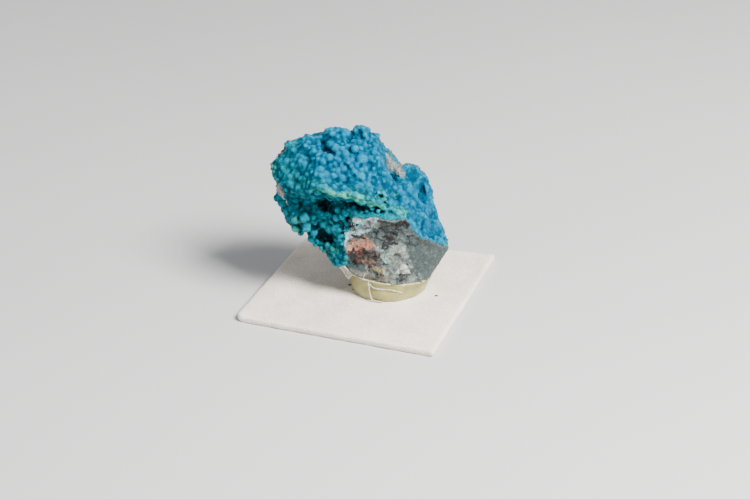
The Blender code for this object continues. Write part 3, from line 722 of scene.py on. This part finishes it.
# Outlines in the view: where the crust is greener, and its smooth band over the broken face.
TEAL_ZONE = (
    (-27, 26), (-20, 27.8), (-16, 26), (-13, 24), (-9, 22.4), (-2.6, 20.8), (2, 19), (5, 15.4), (3, 12), (-4, 10),
    (-4, 0), (-27, 4),
)
SMOOTH_BAND = (
    (-8.6, 14.4), (-8.4, 16), (-4.2, 16.2), (-1, 15.6), (2.6, 15.2), (4.4, 14.4), (0.7, 13.6), (-7.3, 14),
)
# Chunky blocks of crust at the lower left: the centre in the display frame and the half width.
BLOCKS = ((-17.8, -6.3, 19.6, 1.15), (-17.4, -6.5, 17.3, 1.1), (-15.9, -5.2, 15.6, 0.9))
AZURE = (0, 0.046, 0.092)
# The pale crust colours: partly the crust's own paler tone, partly painted highlight on tips.
AZURE_LIGHT = (0, 0.113, 0.208)
# The dark colour that painted shade gives the azure crust in its hollows and gaps.
AZURE_PAINTED_SHADE = (0, 0.009, 0.024)
TEAL = (0, 0.045, 0.066)
TEAL_LIGHT = (0.001, 0.12, 0.155)
# The same painted shade for the greener crust.
TEAL_PAINTED_SHADE = (0, 0.007, 0.012)
# The smooth band's pale teal: its own colour, and partly painted light where the ledge shades it.
BAND_AND_PAINTED_LIGHT = (0.003, 0.165, 0.21)
OLIVE = (0.01, 0.04, 0.028)
MINT = (0.016, 0.17, 0.125)
MINT_LIGHT = (0.055, 0.37, 0.255)
# Pale druse, partly painted highlight on the crust's tips.
DRUSE_AND_HIGHLIGHT = (0, 0.205, 0.3)


def globe(level):
    """A unit globe's points and triangles."""
    bm = bmesh.new()
    bmesh.ops.create_icosphere(bm, subdivisions=level, radius=1)
    points = np.array([v.co for v in bm.verts])
    triangles = np.array([[v.index for v in face.verts] for face in bm.faces])
    bm.free()
    return points, triangles


def copies(points, triangles, middles, scales):
    """One copy of the mesh round each middle, at its own scale along x, y and z."""
    spread = (points[None] * scales[:, None] + middles[:, None]).reshape(-1, 3)
    offsets = np.arange(len(middles)) * len(points)
    return spread, (triangles[None] + offsets[:, None, None]).reshape(-1, 3)


def joined(*parts):
    """Several lots of points and triangles as one."""
    starts = np.cumsum([0] + [len(points) for points, _ in parts])
    triangles = [part[1] + start for part, start in zip(parts, starts)]
    return np.concatenate([points for points, _ in parts]), np.concatenate(triangles)


def shell(points, triangles, normals, chosen, top, bottom):
    """A closed layer over the chosen points' triangles, between these heights over them."""
    kept = triangles[chosen[triangles].all(axis=1)]
    count = len(points)
    sides = np.concatenate([kept[:, (0, 1)], kept[:, (1, 2)], kept[:, (2, 0)]])
    keys = sides[:, 0].astype(np.int64) * count + sides[:, 1]
    backward = sides[:, 1].astype(np.int64) * count + sides[:, 0]
    a, b = sides[~np.isin(keys, backward)].T
    walls = np.concatenate([np.stack([b, a, a + count], 1), np.stack([b, a + count, b + count], 1)])
    both = np.concatenate([points + normals * top, points + normals * bottom])
    return both, np.concatenate([kept, kept[:, ::-1] + count, walls])


def openness(points, normals, tree, rays):
    """How open each point is to the air round it, from 0 in a deep hollow to 1 on a free tip."""
    rng = np.random.default_rng(71)
    arrows = rng.normal(size=(rays, 3))
    arrows /= np.linalg.norm(arrows, axis=1)[:, None]
    free = np.zeros(len(points))
    for arrow in arrows:
        ways = normals * 1.05 + arrow
        starts = points + normals * 0.12
        for index, (start, way) in enumerate(zip(starts.tolist(), ways.tolist())):
            hit = tree.ray_cast(start, way, OPEN_REACH)[3]
            free[index] += 1 if hit is None else hit / OPEN_REACH
    return free / rays


def strewn(spots, radii, taken, spacing):
    """Which spots keep a globe: each stays clear of those before it and of the ones already taken."""
    cell = 2
    grid = {}
    for place, radius in taken:
        grid.setdefault(tuple(int(v // cell) for v in place), []).append((place, radius))
    kept = []
    for index, (place, radius) in enumerate(zip(spots.tolist(), radii.tolist())):
        x, y, z = (int(v // cell) for v in place)
        near = (other for i in (x - 1, x, x + 1) for j in (y - 1, y, y + 1) for k in (z - 1, z, z + 1)
                for other in grid.get((i, j, k), ()))
        if all(math.dist(place, other) > spacing * (radius + size) / 2 for other, size in near):
            kept.append(index)
            grid.setdefault((x, y, z), []).append((place, radius))
    return np.array(kept)


def without_scraps(points, triangles, least):
    """The mesh without its loose scraps of fewer triangles than this."""
    labels = np.arange(len(points))
    while True:
        lowest = labels.copy()
        np.minimum.at(lowest, triangles.ravel(), np.repeat(labels[triangles].min(axis=1), 3))
        lowest = lowest[lowest]
        if np.array_equal(lowest, labels):
            break
        labels = lowest
    sizes = np.bincount(labels[triangles[:, 0]], minlength=len(points))
    triangles = triangles[sizes[labels[triangles[:, 0]]] >= least]
    used, triangles = np.unique(triangles, return_inverse=True)
    return points[used], triangles.reshape(-1, 3)


def along_line(corners, count):
    """This many points along the line through these corners."""
    spread = np.linspace(0, len(corners) - 1, count)
    return np.stack([np.interp(spread, np.arange(len(corners)), column) for column in np.transpose(corners)], 1)


rng = np.random.default_rng(GLOBE_SEED)
ground, ground_triangles = skinned(into_display(cad_points), cad_triangles, 0.3)
ground = smoothed(ground, ground_triangles, 2)
ground_normals = normals_of(smoothed(ground, ground_triangles, 6), ground_triangles)
ground = swollen(ground, ground_normals)
ground_bare = bareness(ground, ground_normals)
hollow_tree = BVHTree.FromPolygons(ground.tolist(), ground_triangles.tolist())
left = share((-12 - ground[:, 0]) / 4)
lumps = cloud(ground, 3.4, 41) * 0.6 + cloud(ground, 1.9, 42) * (0.4 + 0.25 * left) - 0.1
lumps = np.clip(lumps, -0.8, 0.9)
ground = ground + ground_normals * (lumps * share(-ground_bare))[:, None]
open_ground = smoothed(openness(ground, ground_normals, hollow_tree, 6)[:, None], ground_triangles, 4)[:, 0]

order = rng.permutation(len(ground))
order = order[ground_bare[order] < -0.1]
ground_view = seen_at(ground)
coarse = np.clip((ground_view[:, 0] + 21) / 7, 0.6, 1) * np.clip((open_ground - 0.2) * 2.5, 0.5, 1)
flat_band = share(within(SMOOTH_BAND, ground_view) + 0.5) * (ground[:, 1] < -4)
# Where globes are grown together: on the right, on a line over the ledge, at the upper and lower left, and
# in the smooth band.
right, up = ground_view.T
fused = np.max([
    share((right + 4.5) / 4), np.clip(1.5 - np.abs(right * 0.45 + 22.4 - up) * 0.6, 0, 0.8),
    np.clip((-13 - right) / 5, 0, 0.5) * (up > 22), np.clip((14 - up) / 3, 0, 0.6) * share(-7 - right),
    flat_band,
], axis=0)
coarse = coarse * (1 - flat_band)
radii = (GLOBE_RADIUS + GLOBE_GROWTH * coarse) * rng.uniform(*GLOBE_SPREAD, len(ground)) * (1 - 0.45 * fused)
radii *= np.clip(0.75 - ground_bare * 0.25, 0.75, 1)
lift = -0.3 - radii * 0.42 + rng.normal(0, 0.12, len(ground)) - 0.25 * flat_band
centres = ground + ground_normals * lift[:, None]
lip_centres = along_line(LEDGE_LIP, LIP_GLOBES)
taken = [(row[:3], row[3]) for row in SINGLE_GLOBES + BLOCKS + HOLES]
taken += [(tuple(place), LIP_CLEAR) for place in lip_centres]
kept = order[strewn(centres[order], radii[order], taken, GLOBE_SPACING)]
centres, radii = centres[kept], radii[kept]
outward = ground_normals[kept]

buds = rng.choice(len(centres), len(centres) // 4)
ways = outward[buds] + rng.normal(0, 0.55, (len(buds), 3))
ways /= np.linalg.norm(ways, axis=1)[:, None]
bud_radii = radii[buds] * rng.uniform(*BUD_SPREAD, len(buds))
bud_centres = centres[buds] + ways * (radii[buds] * 0.78)[:, None]

lip_line = lip_centres.copy()
lip_centres += rng.normal(0, 0.26, lip_centres.shape)
lip_radii = LIP_GLOBE * rng.uniform(0.5, 1.25, len(lip_centres))

singles = np.array(SINGLE_GLOBES)
all_centres = np.concatenate([centres, bud_centres, lip_centres, singles[:, :3]])
all_radii = np.concatenate([radii, bud_radii, lip_radii, singles[:, 3]])
tints = rng.random(len(all_centres))
tints[len(centres):len(centres) + len(buds)] = tints[buds]
globe_view = seen_at(all_centres)
mint = np.zeros(len(all_centres))
for right, up, reach, strength in MINT_PLACES:
    gap = np.hypot(globe_view[:, 0] - right, globe_view[:, 1] - up)
    mint = np.maximum(mint, strength * share(1.6 - gap / reach))
mint *= all_centres[:, 1] < FRONT_LIMIT
lip_start = len(centres) + len(buds)
mint[lip_start:lip_start + len(lip_centres)] = 0
mint[lip_start + len(lip_centres):] = singles[:, 4]

squash = rng.uniform(*GLOBE_SQUASH, (len(all_centres), 3)) * all_radii[:, None]
globes = copies(*globe(2), all_centres, squash)
ball, ball_triangles = globe(3)
block = ball / (np.sum(ball ** 4, axis=1) ** 0.25)[:, None]
blocks = [
    copies(block @ np.array(Matrix.Rotation(0.5 + n, 3, "Y") @ Matrix.Rotation(0.6 * n, 3, "X")),
           ball_triangles, np.array([place]), np.full((1, 3), half * 0.85))
    for n, (*place, half) in enumerate(BLOCKS)
]
crust_top = (CRUST_BASE + 0.22 * fused)[:, None]
layer = shell(ground, ground_triangles, ground_normals, ground_bare < 0, crust_top, CRUST_ROOT)
crust, crust_triangles = skinned(*joined(layer, globes, *blocks), CRUST_STEP)
crust = smoothed(crust, crust_triangles, 2, 0.5)
if len(crust_triangles) > CRUST_TRIANGLES:
    ratio = CRUST_TRIANGLES / len(crust_triangles)
    crust, crust_triangles = reshaped(crust, crust_triangles, "DECIMATE", ratio=ratio)
crust, crust_triangles = without_scraps(crust, crust_triangles, CRUST_SCRAP)
crust_normals = normals_of(crust, crust_triangles)

globe_tree = tree_of(all_centres)
nearest = np.empty(len(crust), int)
for index, point in enumerate(crust.tolist()):
    found = globe_tree.find_n(point, 3)
    nearest[index] = min(found, key=lambda near: near[2] - all_radii[near[1]])[1]
to_globe = np.linalg.norm(crust - all_centres[nearest], axis=1) - all_radii[nearest]
on_globe = share(1 - to_globe / 0.35)
crust_view = seen_at(crust)
crust_tree = BVHTree.FromPolygons(crust.tolist(), crust_triangles.tolist())
# How open each point of the crust is, which sets painted shade in its hollows and gaps; the foot at the lower left
# is made less open, for more painted shade.
open_crust = smoothed(openness(crust, crust_normals, crust_tree, RAYS)[:, None], crust_triangles, 2)[:, 0]
foot = share((FOOT_TOP - crust_view[:, 1]) / 4) * share((FOOT_RIGHT - crust_view[:, 0]) / 2)
open_crust = open_crust * (1 - FOOT_SHADE * foot)
swell = np.sum((crust - smoothed(crust, crust_triangles, 14)) * crust_normals, axis=1)
lip_tree = tree_of(lip_line)
lip_gap = np.array([lip_tree.find(point)[2] for point in (crust + (0, 0, 0.45)).tolist()])
ridge = np.clip(2.1 - lip_gap * 1.6, 0, 1.25) * np.interp(crust[:, 0], LEDGE_X, LEDGE_GREEN)
teal = within(TEAL_ZONE, ragged_view(crust, 1.2)) * 0.3
teal = np.maximum(teal, (-14 - crust_view[:, 0]) * 0.1 - 0.1)
teal = np.maximum(teal, (crust[:, 1] - 3) * 0.1)
band = within(SMOOTH_BAND, ragged_view(crust, 0.6)) * (crust[:, 1] < FRONT_LIMIT)

chrysocolla, shader, here = finish(
    "chrysocolla", Specular_IOR_Level=0.06, Specular_Tint=(0.05, 0.7, 1, 1), Coat_Roughness=0.12,
)
fine = here.noise(0.28, 4, 0.65)
grainy = here.noise(0.75, 3, 0.6)
patchy = here.noise(1.8, 4, 0.6)
beads = here.cells(0.45)
wide = here.noise(3.6, 2)
air = here.measured("air")
# How much a point stands up as a tip: tips get painted highlight, and the low parts between them painted shade.
tip = here.measured("swell") + (0.4 - beads) * 0.7 + (fine - 0.5) * 1.1
tone_and_painted_highlight = here.measured("tint") * 0.3 + patchy * 0.3 + (wide - 0.5) * 0.9 + (grainy - 0.5) * 0.8 + tip * 0.4
# The pale colours go partly by the globes' random tone and partly by painted highlight on tips.
azure = tone_and_painted_highlight.clear(-0.1, 0.7).blend(AZURE, AZURE_LIGHT)
green = tone_and_painted_highlight.clear(-0.1, 0.7).blend(TEAL, TEAL_LIGHT)
colour = (here.measured("teal") + (patchy - 0.5) * 1.1 + (grainy - 0.5) * 0.6).clear(-0.1, 0.9).blend(azure, green)
# Painted shade: where the crust is less open, and between tips, its colour runs down to these dark colours.
hollow_shade = here.measured("teal").clear(-0.1, 0.7).blend(AZURE_PAINTED_SHADE, TEAL_PAINTED_SHADE)
colour = (air * 0.8 + tip * 0.35).clear(-0.05, 0.66).blend(hollow_shade, colour)
# The smooth band keeps its pale teal over the painted shade of the hollows, which is partly painted light.
banded = (fine * 0.6 + patchy * 0.4).clear(0.35, 0.6).blend(TEAL, BAND_AND_PAINTED_LIGHT)
colour = (here.measured("band") + (patchy - 0.5) * 2).clear(-0.4, 0.6).blend(colour, banded)
olive = (here.measured("teal").clear(0, 0.8) * (patchy * 0.6 + grainy * 0.6 - tip * 0.15).clear(0.64, 0.8)) * 0.5
colour = olive.blend(colour, OLIVE)
# The mint is paler on tips, partly as painted highlight.
minted = (tip * 0.5 + grainy).clear(0.3, 0.9).blend(MINT, MINT_LIGHT)
minted = (patchy * 0.7 + grainy * 0.5).clear(0.78, 0.68).blend(OLIVE, minted)
greening = here.measured("mint") + (patchy - 0.5) * 1.3 + (fine - 0.5) * 0.8
colour = (greening.clear(0.3, 0.9) * air.clear(0.05, 0.35)).blend(colour, minted)
# A pale druse on the open tips, which is partly painted highlight.
colour = ((fine * 0.6 + grainy * 0.5 + tip * 0.16).clear(0.62, 0.8) * air.clear(0.1, 0.5) * 0.8).blend(colour, DRUSE_AND_HIGHLIGHT)
feed(shader, "Base Color", colour)
feed(shader, "Roughness", fine.clear(0.3, 0.7) * 0.3 + 0.35)
feed(shader, "Coat Weight", here.noise(0.2, 2, 0.7).clear(0.64, 0.72) * 0.6)
bump(shader, fine * 0.5 + (1 - beads) * 0.5 + here.noise(0.13, 3) * 0.25, 0.16)
skin = add_piece(
    "specimen_crust", onto_tile(crust), crust_triangles, chrysocolla, tint=tints[nearest] * on_globe,
    swell=np.clip(swell / 0.16, -1, 1), air=open_crust, teal=np.clip(teal, -1, 1.5), band=np.clip(band, -3, 3),
    mint=np.maximum(mint[nearest] * on_globe, ridge),
)
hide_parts("specimen")

# Glue puck
# A low round pad of display glue, pale olive and half see-through like wax. It was pressed flat on the
# tile while soft, and hugs the foot of the rock.
PUCK_RADIUS = 8.2
PUCK_BULGE = 0.45
PUCK_TOP = 4.5
PUCK_LEVELS = 14
PUCK_SIDES = 128
PUCK_STEP = 0.3
# How far the puck's upper edge is rounded in, over which share of its height.
PUCK_EDGE = 0.9
PUCK_EDGE_SHARE = 0.15
# Waves round its side: how high, how many, where they start and how much they lean.
PUCK_WAVES = ((0.1, 3, 1, 1), (0.07, 7, 0, 2.4), (0.05, 13, 0, 0))
# The coat of glue on the rock's foot: its top and its underside over the rock, how far below the puck's top it
# ends, how much higher it goes on the left, and how ragged its end is.
COAT_TOP = 0.22
COAT_ROOT = -0.6
COAT_BELOW = 0.2
COAT_LEFT = 0.9
COAT_RAGGED = 0.35
GLUE = (0.32, 0.296, 0.11)
GLUE_DEEP = (0.235, 0.215, 0.066)


def capped(rings, ends):
    """A closed skin over a stack of rings of points, with a point to close it at each end."""
    levels, count = rings.shape[:2]
    total = levels * count
    last = total - count
    one = np.arange(count)
    after = (one + 1) % count
    triangles = []
    for a in range(0, last, count):
        b = a + count
        triangles += [np.stack([a + one, a + after, b + after], 1), np.stack([a + one, b + after, b + one], 1)]
    triangles += [np.stack([after, one, np.full(count, total)], 1),
                  np.stack([last + one, last + after, np.full(count, total + 1)], 1)]
    return np.concatenate([rings.reshape(-1, 3), ends]), np.concatenate(triangles)


turns = np.linspace(0, 2 * math.pi, PUCK_SIDES, endpoint=False)
rings = []
for t in np.arange(PUCK_LEVELS + 1) / PUCK_LEVELS:
    ring = PUCK_RADIUS + PUCK_BULGE * math.sin(math.pi * min(t * 1.1, 1))
    ring -= PUCK_EDGE * max(t - (1 - PUCK_EDGE_SHARE), 0) ** 2 / PUCK_EDGE_SHARE ** 2
    ring = ring + sum(high * np.sin(count * turns + start + lean * t) for high, count, start, lean in PUCK_WAVES)
    heights = PUCK_TOP * t + 0.12 * t * np.sin(4 * turns + 0.7)
    rings.append(np.stack([ring * np.cos(turns), ring * np.sin(turns), heights], 1))
puck = capped(np.array(rings), [(0, 0, 0), (0, 0, PUCK_TOP)])

# The glue crept up the foot: a thin coat of it over the rock's lowest part.
creep = PUCK_TOP - COAT_BELOW + COAT_LEFT * share(-ground[:, 0] / 6) + cloud(ground, 2.2, 51) * COAT_RAGGED
coat = shell(ground, ground_triangles, ground_normals, ground[:, 2] < creep, COAT_TOP, COAT_ROOT)
puck, puck_triangles = skinned(*joined(puck, coat), PUCK_STEP)
puck = smoothed(puck, puck_triangles, 4, 0.6)
glue, shader, here = finish(
    "display glue", Specular_IOR_Level=0.5, Subsurface_Weight=0.85, Subsurface_Scale=0.003, Coat_Weight=0.3,
    Coat_Roughness=0.2,
)
shader.inputs["Subsurface Radius"].default_value = (1, 0.95, 0.55)
cloudy = here.noise(3.5, 3)
feed(shader, "Base Color", cloudy.clear(0.35, 0.65).blend(GLUE_DEEP, GLUE))
feed(shader, "Roughness", here.noise(0.8, 2).clear(0.3, 0.7) * 0.25 + 0.28)
bump(shader, here.noise(1.4, 3) * 0.8 + here.noise(0.3, 2) * 0.2, 0.12)
pad = add_piece("glue_pad", onto_tile(puck), puck_triangles, glue)
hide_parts("glue_puck")

# Glue strings and film
# Where the rock was pressed in, the glue drew out thin whitish strings along its edge and down the pad,
# and a small film between the rock's lower left edge and the pad. They set hard where they lay.

# Each string: its radius and its corners.
STRINGS = (
    (0.14, ((-10.7, -5.7, 7.7), (-9.9, -5.2, 6.2), (-9.2, -4.4, 4.6), (-8.8, -3.6, 3.5))),
    (0.13, ((-9.8, -6.1, 8), (-8.9, -5.8, 6.7), (-8, -5.4, 5.6), (-7.4, -5.4, 5.4))),
    (0.11, ((-8.9, -4, 3.6), (-8.5, -4.5, 4.4), (-8, -5.2, 5.3))),
    (0.14, ((-8.2, -5.4, 5.6), (-6.9, -6.7, 5.5), (-5.7, -7.3, 5.2), (-4.6, -7.7, 5.1), (-3.4, -8.2, 4.9),
            (-2.2, -8.6, 4.8), (-0.9, -8.8, 4.7), (0.2, -8.8, 4.5))),
    (0.17, ((-4.6, -7.7, 5.1), (-4.5, -7.7, 4), (-4.4, -7.8, 2.8), (-4.2, -7.9, 1.6), (-4, -7.9, 0.7),
            (-3.4, -8.1, 0.35), (-2.4, -8.4, 0.3), (-1.6, -8.6, 0.3))),
    (0.14, ((-4.4, -7.6, 4.4), (-3.8, -8, 3.6), (-2.8, -8.4, 3.4), (-1.6, -8.75, 3.35), (-0.1, -8.8, 3.3),
            (1.4, -8.6, 2.8), (2.9, -8.2, 2.2))),
    (0.09, ((-5.7, -7.3, 5.3), (-5.5, -7.5, 6), (-5.2, -7.7, 6.9))),
)
STRING_SIDES = 8
STRING_STEPS = 8
STRING_UNEVEN = 0.35
FILM = ((-10.7, -5.7, 7.7), (-9.8, -6.1, 8), (-8, -5.2, 5.3), (-8.9, -4, 3.6))
FILM_STEPS = 14
FILM_THICK = 0.08
FILM_SAG = 0.25
GLUE_WHITE = (0.46, 0.44, 0.36)
GLUE_DULL = (0.36, 0.34, 0.25)
FILM_DULL = (0.45, 0.42, 0.38)
FILM_PALE = (0.66, 0.63, 0.58)


def strand(radius, corners):
    """A closed round thread of glue through these corners, a little uneven along its length."""
    spread = np.linspace(0, len(corners) - 1, STRING_STEPS * (len(corners) - 1) + 1)
    middle = along_line(corners, len(spread))
    for _ in range(6):
        middle[1:-1] = (middle[:-2] + middle[1:-1] * 2 + middle[2:]) / 4
    way = np.gradient(middle, axis=0)
    way /= np.linalg.norm(way, axis=1)[:, None]
    across = np.cross(way, (0.3, 0.9, 0.3))
    across /= np.linalg.norm(across, axis=1)[:, None]
    upward = np.cross(way, across)
    thick = radius * (1 + STRING_UNEVEN * np.sin(spread * 5.1 + radius * 90) * np.sin(spread * 2.3))
    thick[[0, -1]] *= 0.4
    turn = np.linspace(0, 2 * math.pi, STRING_SIDES, endpoint=False)
    rings = (middle[:, None] + thick[:, None, None] * (
        np.cos(turn)[None, :, None] * across[:, None] + np.sin(turn)[None, :, None] * upward[:, None]))
    return capped(rings, middle[[0, -1]])


def film_sheet(corners):
    """A thin sagging film between four corners."""
    a, b, c, d = np.array(corners)
    steps = np.linspace(0, 1, FILM_STEPS)
    u, v = (t.ravel()[:, None] for t in np.meshgrid(steps, steps, indexing="ij"))
    flat = a * ((1 - u) * (1 - v)) + b * ((1 - u) * v) + c * (u * v) + d * (u * (1 - v))
    normal = np.cross(d - a, b - a)
    normal /= np.linalg.norm(normal)
    sag = -FILM_SAG * np.sin(math.pi * u) * np.sin(math.pi * v)
    index = np.arange(len(flat)).reshape(FILM_STEPS, FILM_STEPS)
    p, q, r, s = index[:-1, :-1].ravel(), index[1:, :-1].ravel(), index[1:, 1:].ravel(), index[:-1, 1:].ravel()
    faces = np.concatenate([np.stack([p, q, r], 1), np.stack([p, r, s], 1)])
    return shell(flat, faces, normal, np.full(len(flat), True), sag + FILM_THICK / 2, sag - FILM_THICK / 2)


thread, shader, here = finish(
    "drawn glue", Specular_IOR_Level=0.5, Subsurface_Weight=0.5, Subsurface_Scale=0.0006, Coat_Weight=0.3,
)
shader.inputs["Subsurface Radius"].default_value = (1, 0.95, 0.75)
feed(shader, "Base Color", here.noise(0.9, 3).clear(0.35, 0.65).blend(GLUE_DULL, GLUE_WHITE))
feed(shader, "Roughness", here.noise(0.5, 2) * 0.3 + 0.25)
bump(shader, here.noise(0.25, 2), 0.05)
drawn, drawn_triangles = joined(*[strand(radius, corners) for radius, corners in STRINGS])
strings = add_piece("glue_strings", onto_tile(drawn), drawn_triangles, thread)
film, shader, here = finish("glue film", Specular_IOR_Level=0.5, Coat_Weight=0.3)
feed(shader, "Base Color", here.noise(1.2, 3).clear(0.3, 0.7).blend(FILM_DULL, FILM_PALE))
feed(shader, "Roughness", here.noise(0.5, 2) * 0.3 + 0.2)
feed(shader, "Alpha", here.noise(0.7, 3).clear(0.2, 0.8) * 0.3 + 0.2)
bump(shader, here.noise(0.4, 3), 0.06)
sheet, sheet_triangles = film_sheet(FILM)
web = add_piece("glue_film", onto_tile(sheet), sheet_triangles, film)

# Crumbs
# Crumbs of the crust, fallen on the tile and stuck to the puck's side.

# Each crumb: its middle and its size.
CRUMBS = ((-8.64, 0.45, 0.05, 0.28), (10.08, -5.72, 0.05, 0.3), (-8, -3.6, 0.9, 0.16))
CRUMB_DARK = (0.012, 0.035, 0.032)
CRUMB_PALE = (0.05, 0.12, 0.1)
ball, ball_triangles = globe(2)
crumbs = copies(ball * (1 + 0.3 * cloud(ball, 0.7, 61))[:, None] * (1.2, 1, 0.7), ball_triangles,
                np.array(CRUMBS)[:, :3], np.array([(size,) * 3 for *_, size in CRUMBS]))
grit, shader, here = finish("dark green crumb", Roughness=0.6)
feed(shader, "Base Color", here.noise(0.2, 3).clear(0.4, 0.6).blend(CRUMB_DARK, CRUMB_PALE))
bump(shader, here.noise(0.1, 3), 0.05)
dust = add_piece("crumbs", onto_tile(crumbs[0]), crumbs[1], grit)

# Floor, lights and camera
# A plain pale floor under plain soft studio light: a large lamp up on the right, a weak one on the left.
# The camera looks down on the specimen from its right, as the photograph does.
FLOOR_HALF = 0.6
FLOOR_DULL = (0.5, 0.5, 0.5)
FLOOR_PALE = (0.54, 0.54, 0.54)
AIM_ROLL = math.radians(-1.2)
AIM_DISTANCE = 0.455
AIM_SHIFT = (0.0016, 0.00815)
AIM_MIDDLE = Vector((0.1, -0.15, 1.6)) * MM

corners = np.array([(-1, -1, 0), (1, -1, 0), (1, 1, 0), (-1, 1, 0)]) * FLOOR_HALF
floor_mesh = mesh_of("floor", corners, np.array([(0, 1, 2), (0, 2, 3)]))
paper, shader, here = finish("pale floor", Roughness=0.9)
feed(shader, "Base Color", here.noise(200, 2).clear(0.2, 0.8).blend(FLOOR_DULL, FLOOR_PALE))
floor_mesh.materials.append(paper)
floor_sheet = placed("floor", floor_mesh)

toward = Vector(TOWARD_VIEW @ TURNED)
level_right = Vector(TURNED[0])
level_up = toward.cross(level_right)
right = level_right * math.cos(AIM_ROLL) + level_up * math.sin(AIM_ROLL)
upward = level_up * math.cos(AIM_ROLL) - level_right * math.sin(AIM_ROLL)
lens = bpy.data.cameras.new("camera")
lens.lens = 100
lens.sensor_width = 36
lens.clip_start = 0.01
camera = placed("camera", lens)
stand = Matrix((right, upward, toward)).transposed().to_4x4()
stand.translation = toward * AIM_DISTANCE + right * AIM_SHIFT[0] + upward * AIM_SHIFT[1] + AIM_MIDDLE
camera.matrix_world = stand
bpy.context.scene.camera = camera


def lamp(name, spot, power, size, colour):
    """A square soft lamp at this spot, in the view's right, away and up, aimed at the specimen."""
    made = bpy.data.lights.new(name, "AREA")
    made.energy = power
    made.size = size
    made.color = colour
    holder = placed(name, made)
    place = Vector(spot @ TURNED)
    holder.location = place
    holder.rotation_euler = (place - Vector((0, 0, 0.02))).to_track_quat("Z", "Y").to_euler()


lamp("key_lamp", (0.26, -0.24, 0.38), 11, 0.2, (1, 0.985, 0.965))
lamp("fill_lamp", (-0.5, -0.35, 0.25), 1.5, 0.4, (0.95, 0.98, 1))
sky = bpy.data.worlds.new("studio")
sky.use_nodes = True
sky.node_tree.nodes["Background"].inputs["Color"].default_value = (0.95, 0.965, 1, 1)
sky.node_tree.nodes["Background"].inputs["Strength"].default_value = 0.4
bpy.context.scene.world = sky
